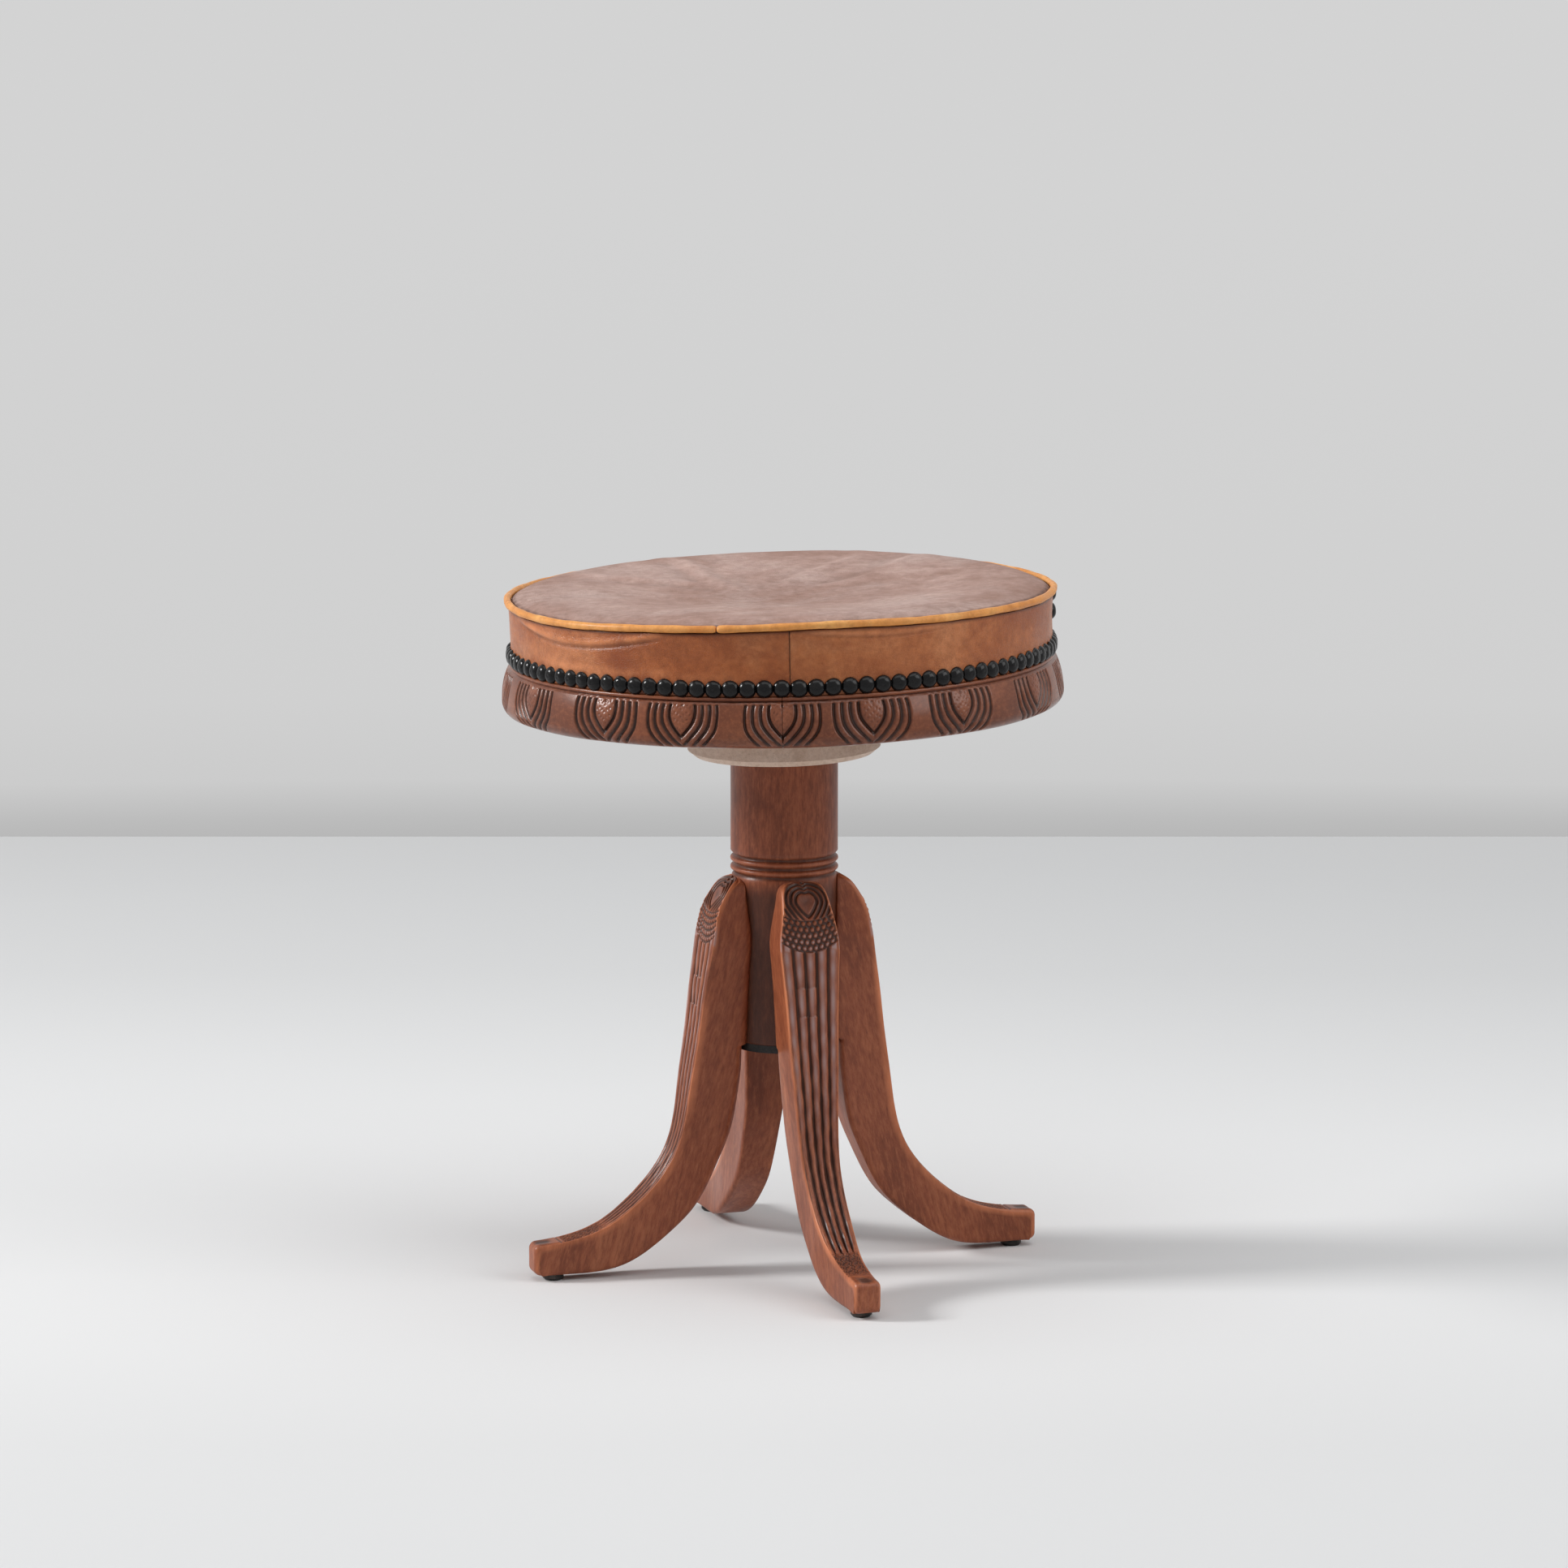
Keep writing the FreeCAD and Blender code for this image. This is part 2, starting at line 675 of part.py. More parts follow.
def flange_piece():
    """The iron flange that joins the screw to the boss."""
    top = boss_bottom + " + screw_flange_thickness"
    inner = thread_core + " + hole_play"
    blank = turned("screw_flange_blank", [
        (inner, boss_bottom), ("screw_flange_radius", boss_bottom),
        ("screw_flange_radius", top), (inner, top)])
    holes = placed_shape("flange_holes", flange_screw_set(value("hole_play")))
    flange = cut("screw_flange", blank, [holes])
    flange.Placement = LEAN
    return flange


def side_name(stem, left):
    """Name of one half of a piece that is glued up from two."""
    return stem + ("_left" if left else "_right")


def boss_piece(left):
    """Half of the bevelled boss under the seat, with the flange let into it."""
    name = side_name("boss", left)
    blank = half_turn_body(name + "_blank", [
        ("0", boss_bottom), ("boss_radius - boss_bevel", boss_bottom),
        ("boss_radius", boss_bottom + " + boss_bevel_height"), ("boss_radius", board_bottom),
        ("0", board_bottom)], left)
    recess = rod(name + "_recess", "screw_flange_radius + hole_play", "2*screw_flange_thickness",
                 ("0", "0", boss_bottom + " - screw_flange_thickness"))
    bore = rod(name + "_bore", thread_core + " + hole_play",
               "screw_flange_thickness + rod_sink + hole_play", ("0", "0", boss_bottom))
    screws = placed_shape(name + "_holes", Part.makeCompound(
        [flange_screw_set(value("hole_play")), boss_screw_set(value("hole_play"))]))
    boss = cut(name, blank, [recess, bore, screws])
    boss.Placement = LEAN
    return boss


def rim_edges():
    """Half section of the seat board: swelling rim, quirk, bead, and the rebate for the leather."""
    low = value(board_bottom)
    rim_top = value(bead_bottom)
    crest = value(bead_crest)
    top = value(board_top)
    belly = low + value("rim_belly")
    rebate = value("board_radius")
    widest = rebate + value("rim_proud")
    foot = rebate + value("rim_foot_proud")
    shoulder = rebate + value("rim_top_proud")
    bead = rebate + value("bead_proud")
    quirk = 0.25 * value("bead_height")
    curl = Vector(foot + EIGHTH * (widest - foot), belly - EIGHTH * (belly - low), 0)
    swell = Vector(widest - value("rim_swell") * (widest - shoulder),
                   0.5 * (belly + rim_top - quirk), 0)
    lip = Vector(shoulder, rim_top - quirk, 0)
    roll = 0.5 * (bead - rebate)
    start = Vector(bead - roll, rim_top + quirk, 0)
    edges = polyline([Vector(0, top, 0), Vector(0, low, 0), Vector(foot, low, 0)])
    edges.append(Part.Arc(Vector(foot, low, 0), curl, Vector(widest, belly, 0)))
    edges.append(Part.Arc(Vector(widest, belly, 0), swell, lip))
    edges += polyline([lip, Vector(bead - roll, rim_top, 0), start])
    edges.append(Part.Arc(start, Vector(bead, 0.5 * (rim_top + crest), 0),
                          Vector(bead - roll, crest, 0)))
    edges += polyline([Vector(bead - roll, crest, 0), Vector(rebate, crest, 0),
                       Vector(rebate, top, 0), Vector(0, top, 0)])
    return edges


def board_piece(left):
    """Half of the seat board, glued and dowelled to the other half along X = 0."""
    name = side_name("board", left)
    body = doc.addObject("PartDesign::Body", name + "_blank")
    revolve(body, drawn_outline(body, "YZ_Plane", rim_edges(), name + "_outline"), 180.0)
    if not left:
        body.Placement = Placement(Vector(), Rotation(Vector(0, 0, 1), 180.0))
    holes = placed_shape(name + "_holes", Part.makeCompound(
        [board_dowel_set(value("hole_play")), boss_screw_set(value("hole_play"))]))
    board = cut(name, body, [holes])
    board.Placement = LEAN
    return board


def hoop_piece():
    """The bentwood hoop on the board's edge that keeps the drum of the seat upright."""
    inner = "board_radius - hoop_thickness"
    high = piping_level + " - hoop_drop"
    body = turned("edge_hoop", [(inner, board_top), ("board_radius", board_top),
                                ("board_radius", high), (inner, high)])
    body.Placement = LEAN
    return body


def band_ends():
    """Levels of the leather band's lower and upper edge."""
    return value(bead_crest + " + lay"), value(piping_level + " - piping_radius - lay")


def band_radius(level):
    """Outer radius of the leather band at a height: drawn in a little between its two edges."""
    low, high = band_ends()
    share = (level - low) / (high - low)
    straight = value("board_radius + band_gap + leather") + share * value("band_flare")
    return straight - 4.0 * value("band_waist") * share * (1.0 - share)


def band_edges():
    """Section of the leather band, an even thickness that follows the drawn-in side."""
    low, high = band_ends()
    middle = 0.5 * (low + high)
    skin = value("leather")
    outside = [Vector(band_radius(level), level, 0) for level in (low, middle, high)]
    inside = [point - Vector(skin, 0, 0) for point in outside]
    return [Part.Arc(*outside), Part.LineSegment(outside[2], inside[2]),
            Part.Arc(*inside[::-1]), Part.LineSegment(inside[0], outside[0])]


def band_piece(name, first_turn, last_turn):
    """One length of the leather band round the seat, from seam to seam."""
    body = doc.addObject("PartDesign::Body", name)
    sweep = last_turn - first_turn - value("seam_gap")
    revolve(body, drawn_outline(body, "XZ_Plane", band_edges(), name + "_outline"), sweep)
    start = Rotation(Vector(0, 0, 1), first_turn + 0.5 * value("seam_gap"))
    body.Placement = LEAN.multiply(Placement(Vector(), start))
    return body


def top_curve(lift):
    """The seat's top from its sewn edge over the crown to the worn dish, at a lift."""
    rim, middle = top_ends(lift)
    crown = value(top_radius + " - crown_inset")
    high = value(piping_level + " + crown_height") + lift
    dish = value("dish_depth")
    shoulder = Vector(rim.x - value("shoulder_inset"), high - value("shoulder_drop"), 0)
    points = [rim, shoulder, Vector(crown, high, 0)]
    points += [Vector(across * crown, high - down * dish, 0) for across, down in DISH_SHARES]
    return smooth(points + [middle])


def top_ends(lift):
    """Outer and inner end of the top's curve at a lift."""
    level = value(piping_level) + lift
    middle = Vector(0, level + value("crown_height - dish_depth"), 0)
    return Vector(value(top_radius), level, 0), middle


def leather_top_piece():
    """The round leather top, crowned near its edge and dished in the middle."""
    body = doc.addObject("PartDesign::Body", "leather_top")
    half = 0.5 * value("leather")
    edges = [top_curve(half), top_curve(-half)]
    for over, under in zip(top_ends(half), top_ends(-half)):
        edges.append(Part.LineSegment(over, under))
    revolve(body, drawn_outline(body, "XZ_Plane", edges, "leather_top_outline"))
    body.Placement = LEAN
    return body


def stuffing_piece():
    """The stuffed pad that fills the hoop and swells up under the leather top."""
    body = doc.addObject("PartDesign::Body", "stuffing_pad")
    gap = value("lay")
    lift = -0.5 * value("leather") - gap
    rim, middle = top_ends(lift)
    floor = value(board_top) + gap
    ledge = value(piping_level + " - hoop_drop") + gap
    hoop = value("board_radius - hoop_thickness") - gap
    edges = polyline([rim, Vector(rim.x - gap, ledge, 0), Vector(hoop, ledge, 0),
                      Vector(hoop, floor, 0), Vector(0, floor, 0), middle])
    edges.append(top_curve(lift))
    revolve(body, drawn_outline(body, "XZ_Plane", edges, "stuffing_outline"))
    body.Placement = LEAN
    return body


def piping_piece():
    """The piped cord round the top edge, with the small notch where its ends meet."""
    ring = doc.addObject("Part::Torus", "piping")
    bind(ring, "Radius1", piping_reach + " - piping_radius")
    bind(ring, "Radius2", "piping_radius")
    bind(ring, "Angle3", "360 - piping_notch_width_angle")
    spot = Placement(Vector(0, 0, value(piping_level)),
                     Rotation(Vector(0, 0, 1), value("piping_notch_angle + 0.5*piping_notch_width_angle")))
    ring.Placement = LEAN.multiply(spot)
    return ring


def domed_nail():
    """An upholstery nail: domed head at height 0, shank below it."""
    wide = value("nail_radius")
    tall = value("nail_dome")
    ball = (wide ** 2 + tall ** 2) / (2.0 * tall)
    half_angle = 0.5 * math.asin(wide / ball)
    middle = Vector(ball * math.sin(half_angle), 0, tall - ball + ball * math.cos(half_angle))
    shank = value("nail_shank_radius")
    low = -value("nail_shank_length")
    dome = Part.Arc(Vector(wide, 0, 0), middle, Vector(0, 0, tall)).toShape()
    rest = Part.makePolygon([Vector(0, 0, tall), Vector(0, 0, low), Vector(shank, 0, low),
                             Vector(shank, 0, 0), Vector(wide, 0, 0)])
    face = Part.Face(Part.Wire([dome] + rest.Edges))
    return face.revolve(Vector(0, 0, 0), Vector(0, 0, 1), 360.0)


def nails_at(places):
    """Copies of the nail pointing out of the band at (turn, level) places."""
    nail = domed_nail()
    copies = []
    for turn_degrees, level in places:
        turn = Rotation(Vector(0, 0, 1), turn_degrees)
        tip = Rotation(Vector(0, 1, 0), 90.0)
        copy = nail.copy()
        copy.Placement = Placement(turn.multVec(Vector(band_radius(level), 0, level)),
                                   turn.multiply(tip))
        copies.append(copy)
    return Part.makeCompound(copies)


def band_nails_piece():
    """The close row of domed nails round the band's lower edge."""
    way_round = 2.0 * math.pi * band_radius(value(nail_level))
    count = int(way_round / value("2*nail_radius + nail_spacing"))
    pitch = 360.0 / count
    places = [(value("front_seam_angle") + (number + 0.5) * pitch, value(nail_level))
              for number in range(count)]
    return placed_shape("band_nails", nails_at(places), LEAN)


def seam_nails_piece():
    """The two nails that close the band's rear seam."""
    low = value(nail_level + " + seam_nail_low")
    places = [(value("rear_seam_angle"), low + step * value("seam_nail_pitch"))
              for step in range(int(value("seam_nail_count")))]
    return placed_shape("seam_nails", nails_at(places), LEAN)


nodes = [column_piece(), plate_piece(), placed_shape("plate_screws", plate_screw_set()),
         placed_shape("leg_dowels", leg_dowel_set()), nut_piece(),
         placed_shape("nut_screws", nut_screw_set(), LEAN)]
nodes += [leg_piece(number) for number in range(len(LEG_NAMES))]
nodes += [glide_piece(number) for number in range(len(GLIDE_NAMES))]
nodes += [collar_piece(), screw_rod_piece(), flange_piece(),
          placed_shape("flange_screws", flange_screw_set(), LEAN)]
nodes += [boss_piece(True), boss_piece(False), placed_shape("boss_screws", boss_screw_set(), LEAN)]
nodes += [board_piece(True), board_piece(False),
          placed_shape("board_dowels", board_dowel_set(), LEAN)]
nodes += [hoop_piece(), stuffing_piece(), leather_top_piece(),
          band_piece("band_quarter", value("front_seam_angle"), value("rear_seam_angle")),
          band_piece("band_long", value("rear_seam_angle"), value("front_seam_angle") + 360.0),
          piping_piece(), band_nails_piece(), seam_nails_piece()]
doc.recompute()

for item in doc.Objects:
    if "Invalid" in item.State or "Error" in item.State:
        raise RuntimeError("%s failed: %s" % (item.Name, item.State))

os.makedirs("parts", exist_ok=True)
for node in nodes:
    node.Label = node.Name
    if node.Shape.isNull() or not node.Shape.isValid():
        raise RuntimeError("%s has no valid shape" % node.Name)
    node.Shape.exportStep("parts/%s.step" % node.Name)
    print("%-14s %2d solids %12.1f mm3" % (node.Name, len(node.Shape.Solids), node.Shape.Volume))
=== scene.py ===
"""Looks of the screw stool: carved legs and rim, padded leather seat, nails, studio and camera."""
import json
from math import atan2, cos, pi, radians, sin

import bmesh
import bpy
import numpy as np
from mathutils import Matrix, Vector


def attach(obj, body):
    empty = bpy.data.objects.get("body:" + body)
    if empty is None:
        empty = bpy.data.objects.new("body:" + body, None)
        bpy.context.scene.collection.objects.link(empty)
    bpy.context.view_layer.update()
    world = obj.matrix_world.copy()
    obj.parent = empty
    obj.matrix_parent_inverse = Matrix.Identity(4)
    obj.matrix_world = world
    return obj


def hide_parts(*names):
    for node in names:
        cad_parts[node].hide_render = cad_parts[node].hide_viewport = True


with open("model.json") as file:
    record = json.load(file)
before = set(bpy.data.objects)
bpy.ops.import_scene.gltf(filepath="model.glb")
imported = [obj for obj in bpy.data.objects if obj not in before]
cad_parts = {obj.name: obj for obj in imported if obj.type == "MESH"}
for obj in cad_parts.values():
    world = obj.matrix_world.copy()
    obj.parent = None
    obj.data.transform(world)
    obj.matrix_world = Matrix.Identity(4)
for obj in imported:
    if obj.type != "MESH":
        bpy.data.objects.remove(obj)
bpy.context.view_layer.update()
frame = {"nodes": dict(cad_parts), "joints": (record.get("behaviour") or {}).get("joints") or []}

scene = bpy.context.scene

MILLIMETRE = 0.001
FULL_TURN = 2 * pi


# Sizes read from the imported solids. Sizes are in millimetres and the studio's in metres.
def solid_points(name):
    """Points of a CAD node at rest."""
    corners = np.array([vertex.co for vertex in frame["nodes"][name].data.vertices])
    return np.round(corners / MILLIMETRE, 3)


screw_axis = next(joint["axis"] for joint in frame["joints"] if joint["name"] == "seat_turn")
SEAT_LEAN = atan2(screw_axis[0], screw_axis[2])
column_points = solid_points("column")
column_reach = np.hypot(column_points[:, 0], column_points[:, 1])
COLUMN_BOTTOM, COLUMN_TOP = column_points[:, 2].min(), column_points[:, 2].max()
COLUMN_RADIUS = column_reach.max()
FOOT_RADIUS = column_reach[column_points[:, 2] < COLUMN_BOTTOM + 50].max()


def turned(points, angle, first, second):
    """Points turned by an angle from one axis towards another."""
    placed = points.copy()
    placed[..., first] = points[..., first] * cos(angle) - points[..., second] * sin(angle)
    placed[..., second] = points[..., first] * sin(angle) + points[..., second] * cos(angle)
    return placed


def leaned(points, lean=SEAT_LEAN):
    """Points of the seat's own frame set down where the leaning screw carries them."""
    pivot = (0, 0, COLUMN_TOP)
    return turned(points - pivot, lean, 2, 0) + pivot


def seat_sizes(name):
    """Lowest and highest level and largest radius of a node in the seat's own upright frame."""
    points = leaned(solid_points(name), -SEAT_LEAN)
    return points[:, 2].min(), points[:, 2].max(), np.hypot(points[:, 0], points[:, 1]).max()


LEG_NAMES = ("leg_front", "leg_right", "leg_back", "leg_left")
glide_points = solid_points("glide_front")
glide_middle = 0.5 * (glide_points.min(axis=0) + glide_points.max(axis=0))
FIRST_LEG_TURN = atan2(glide_middle[1], glide_middle[0])
leg_points = solid_points(LEG_NAMES[0])
GLIDE_HEIGHT, LEG_TOP = leg_points[:, 2].min(), leg_points[:, 2].max()
TOE_REACH = (leg_points[:, :2] @ [cos(FIRST_LEG_TURN), sin(FIRST_LEG_TURN)]).max()
RIM_BOTTOM, BOARD_TOP, _ = seat_sizes("board_right")
_, HOOP_TOP, BOARD_RADIUS = seat_sizes("edge_hoop")
PAD_BOTTOM, _, PAD_RADIUS = seat_sizes("stuffing_pad")
BAND_LOW, BAND_HIGH, _ = seat_sizes("band_long")
PIPING_RADIUS = 2.7
piping_low, piping_high, piping_reach = seat_sizes("piping")
PIPING_LEVEL = 0.5 * (piping_low + piping_high)
PIPING_CENTRE = piping_reach - PIPING_RADIUS
nails_low, nails_high, _ = seat_sizes("band_nails")
NAIL_RADIUS = 0.5 * (nails_high - nails_low)
NAIL_LEVEL = nails_low + NAIL_RADIUS
seam_nails_low, seam_nails_high, _ = seat_sizes("seam_nails")

# Sizes that the solids don't give by themselves.
NAIL_COUNT = 102
FRONT_SEAM = -88.2
REAR_SEAM = 4
BAND_THICKNESS = 1.8
GROOVE_LEVELS = (277.1, 283.3, 289.5)
RIM_TOP = RIM_BOTTOM + 31
TOE_TOP = 26.5
TOE_ROUND = 5
TOE_FLAT_END = 148
# Outlines of a leg, as shares of its reach beyond the column's foot and of its height.
LEG_OUTER_SHARES = (
    (0.05, 0.98), (0.087, 0.95), (0.116, 0.921), (0.134, 0.89), (0.143, 0.862), (0.153, 0.827),
    (0.164, 0.783), (0.189, 0.686), (0.213, 0.577), (0.254, 0.42), (0.322, 0.239), (0.431, 0.145),
    (0.54, 0.086), (0.663, 0.038), (0.796, 0.011),
)
LEG_INNER_SHARES = (
    (0.001, 0.903), (0.016, 0.775), (0.05, 0.608), (0.111, 0.466), (0.23, 0.264), (0.326, 0.177),
    (0.435, 0.098), (0.578, 0.026), (0.68, 0.005),
)
# Half widths of a leg: by its height, by the drop below the arched top, and by its reach.
KNEE_HALF, WIDEST_HALF, SHOULDER_HALF, TOE_HALF = 13.4, 21, 17.7, 9.3
LEG_FRONT_SHARES = ((-0.092, 0.127), (0, 0.231), (0.5, 0.549), (0.92, 0.779), (1, 0.843))
LEG_ARCH_SHARES = ((1.05, 2.24), (0.93, 0.85), (0.81, 0.3), (0.4, 0), (0, -0.05))
LEG_PLAN_SHARES = (
    (1.756, 0.257), (1.195, 0.326), (0.89, 0.421), (0.707, 0.53), (0.244, 0.693), (0.049, 0.843),
    (0, 1.05),
)
# A leg's carving, by the way along its outer edge from the top.
HEART_PLACE = 17.5
HEART_SIZE = (7, 7.4, 10.2)
HEART_SCALE = 7.2
HEART_REEDS = (1.08, 1.58, 2.06, 2.55, 3.04)
PEARLS_START, PEARLS_END, PEARL_ROWS = 31, 52.5, 5
REED_COUNT = 5
REED_STEPS = (77.5, 97)
CUFF_START, CUFF_END = 266, 301.5
# Middles of the rim's carved buds, in degrees from the front towards +X.
SEEN_BUDS = (-62.4, -38.4, -20.5, 0, 18.3, 39, 63.5)
FURTHER_BUDS = 10
BUD_PITCH = 21.3
# Distance between the reeds of one bud after another, and how deep they are cut.
RING_PITCHES = (5.6, 5.5, 5.1, 5.3, 5.7, 5.5, 5.6)
RIM_DEPTH = 2.1
# The seat's top from its edge to its middle: radius, and level over the middle of the piping.
TOP_OUTLINE = ((184.3, 0), (173.6, 2.9), (160, 4), (129.6, 2.9), (99.2, 0.43), (49.6, -3.05),
               (9.6, -4.45), (0.01, -4.5))
# Soft folds of the seat's top: their angle from +X in degrees, half width and height.
FOLDS = ((49, 9, 1.7), (72, 7.5, 1.2), (98, 8, 0.5), (122, 8, 1.6), (150, 9, 1.4),
         (186, 9, 0.4), (17, 9, 0.6))


# Lines.
def smooth_line(points, count=30):
    """Natural cubic curve through points, spaced by chord length."""
    knots = np.array(points, float)
    gaps = np.linalg.norm(np.diff(knots, axis=0), axis=1)
    ways = way_along(knots)
    size = len(knots)
    matrix = np.eye(size)
    right = np.zeros_like(knots)
    for i in range(1, size - 1):
        matrix[i, i - 1:i + 2] = gaps[i - 1], 2 * (gaps[i - 1] + gaps[i]), gaps[i]
        right[i] = 6 * ((knots[i + 1] - knots[i]) / gaps[i]
                          - (knots[i] - knots[i - 1]) / gaps[i - 1])
    bend = np.linalg.solve(matrix, right)
    where = np.linspace(0, ways[-1], count * (size - 1) + 1)
    part = np.clip(np.searchsorted(ways, where, side="right") - 1, 0, size - 2)
    gap = gaps[part][:, None]
    before = (ways[part + 1] - where)[:, None] / gap
    after = 1 - before
    curve = before * knots[part] + after * knots[part + 1]
    return curve + ((before ** 3 - before) * bend[part]
                    + (after ** 3 - after) * bend[part + 1]) * gap ** 2 / 6


def circle_line(middle, radius, turns):
    """Points on a circle at angles in radians."""
    return np.stack([middle[0] + radius * np.cos(turns), middle[1] + radius * np.sin(turns)], axis=1)


def arc_line(middle, radius, start, end, count=10):
    """Points on a circle from one angle to another, in degrees."""
    return circle_line(middle, radius, np.radians(np.linspace(start, end, count)))


def three_point_arc(start, middle, end, count):
    """Points on the circle through three points, from the first to the last."""
    a, b, c = (np.array(point, float) for point in (start, middle, end))
    matrix = 2 * np.array([b - a, c - a])
    centre = np.linalg.solve(matrix, [b @ b - a @ a, c @ c - a @ a])
    turns = np.unwrap([atan2(*(point - centre)[::-1]) for point in (a, b, c)])
    return circle_line(centre, np.linalg.norm(a - centre), np.linspace(turns[0], turns[2], count))


def way_along(line):
    """Distance along a line at each of its points."""
    return np.concatenate(([0], np.cumsum(np.linalg.norm(np.diff(line, axis=0), axis=1))))


def read_off(where, ways, line):
    """Points of a line at some places, from the places of its own points."""
    return np.stack([np.interp(where, ways, column) for column in line.T], axis=1)


def evenly(line, step):
    """The same line with points at equal distances."""
    way = way_along(line)
    return read_off(np.linspace(0, way[-1], int(way[-1] / step) + 1), way, line)


def from_shares(shares, start, end):
    """Points given as shares of the way from one corner to another."""
    return start + np.array(shares) * np.subtract(end, start)


# Shares and waves.
def unit(value):
    """A value held between 0 and 1."""
    return np.clip(value, 0, 1)


def ease(value, low, high):
    """0 below low, 1 above high, and a smooth rise between."""
    share = unit((value - low) / (high - low))
    return share * share * (3 - 2 * share)


def fade(value, low, high):
    """1 below low, 0 above high, and a smooth fall between."""
    return 1 - ease(value, low, high)


def window(value, start, full, last, end):
    """1 between full and last, 0 outside start and end, and smooth between."""
    return ease(value, start, full) * fade(value, last, end)


def swell(offset, width):
    """1 at offset 0, and a bell's fall to both sides."""
    return np.exp(-(offset / width) ** 2)


def wrapped(value, period=1):
    """A place in something that repeats, from minus to plus half a period."""
    return (value + 0.5 * period) % period - 0.5 * period


def round_off(share):
    """How far a quarter circle of radius 1 has dropped at a share of its radius."""
    return 1 - np.sqrt(unit(1 - share ** 2))


def ripple(first, second, seed):
    """Gentle waves over a surface, between -1 and 1, with no repeat that shows."""
    total = np.zeros(np.broadcast(first, second).shape)
    for step in range(1, 6):
        turn = seed * 1.7 + step * 2.399
        total = total + np.sin((first * cos(turn) + second * sin(turn)) * (0.6 + 0.37 * step)
                               + seed * step * 1.3)
    return total / 5


# Meshes and pieces.
def around(radius, turn, level):
    """Points at radii, angles and levels about the vertical axis."""
    radius, turn, level = np.broadcast_arrays(radius, turn, level)
    return np.stack([radius * np.cos(turn), radius * np.sin(turn), level], axis=-1)


def circle(count):
    """A row of angles round a whole turn."""
    return np.linspace(0, FULL_TURN, count, endpoint=False)[None, :]


def grid_faces(rows, columns, caps=True):
    """Faces over a grid of points whose last column meets its first, and over its two ends."""
    near = np.arange(rows * columns).reshape(rows, columns)
    far = np.roll(near, -1, axis=1)
    faces = np.stack([near[:-1], far[:-1], far[1:], near[1:]], axis=-1).reshape(-1, 4).tolist()
    return faces + [near[0][::-1].tolist(), near[-1].tolist()] if caps else faces


def smooth_mesh(name, points, faces, **marks):
    """A smooth mesh from points and faces, with marks for its material."""
    mesh = bpy.data.meshes.new(name)
    mesh.from_pydata((np.reshape(points, (-1, 3)) * MILLIMETRE).tolist(), [], faces)
    for mark, numbers in marks.items():
        flat = np.ascontiguousarray(numbers, dtype=np.float32)
        kind = "FLOAT_VECTOR" if flat.ndim == 3 else "FLOAT"
        layer = mesh.attributes.new(name=mark, type=kind, domain="POINT")
        layer.data.foreach_set("vector" if flat.ndim == 3 else "value", flat.ravel())
    outward = bmesh.new()
    outward.from_mesh(mesh)
    bmesh.ops.recalc_face_normals(outward, faces=outward.faces)
    outward.to_mesh(mesh)
    outward.free()
    mesh.shade_smooth()
    return mesh


def skin(name, grid, caps=True, **marks):
    """A smooth mesh over a grid whose last column of points meets its first."""
    return smooth_mesh(name, grid, grid_faces(*grid.shape[:2], caps), **marks)


def field(grid, part, values):
    """A mark over a grid: values in one part of it and 0 elsewhere."""
    mark = np.zeros(grid.shape[:2])
    mark[part] = values
    return mark


def put(name, data):
    """A new object in the scene, at the origin."""
    item = bpy.data.objects.new(name, data)
    scene.collection.objects.link(item)
    return item


def piece(name, mesh, material, body, replaced):
    """A named object that rides on a body and stands for CAD nodes."""
    mesh.materials.append(material)
    item = put(name, mesh)
    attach(item, body)
    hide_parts(*replaced)
    return item


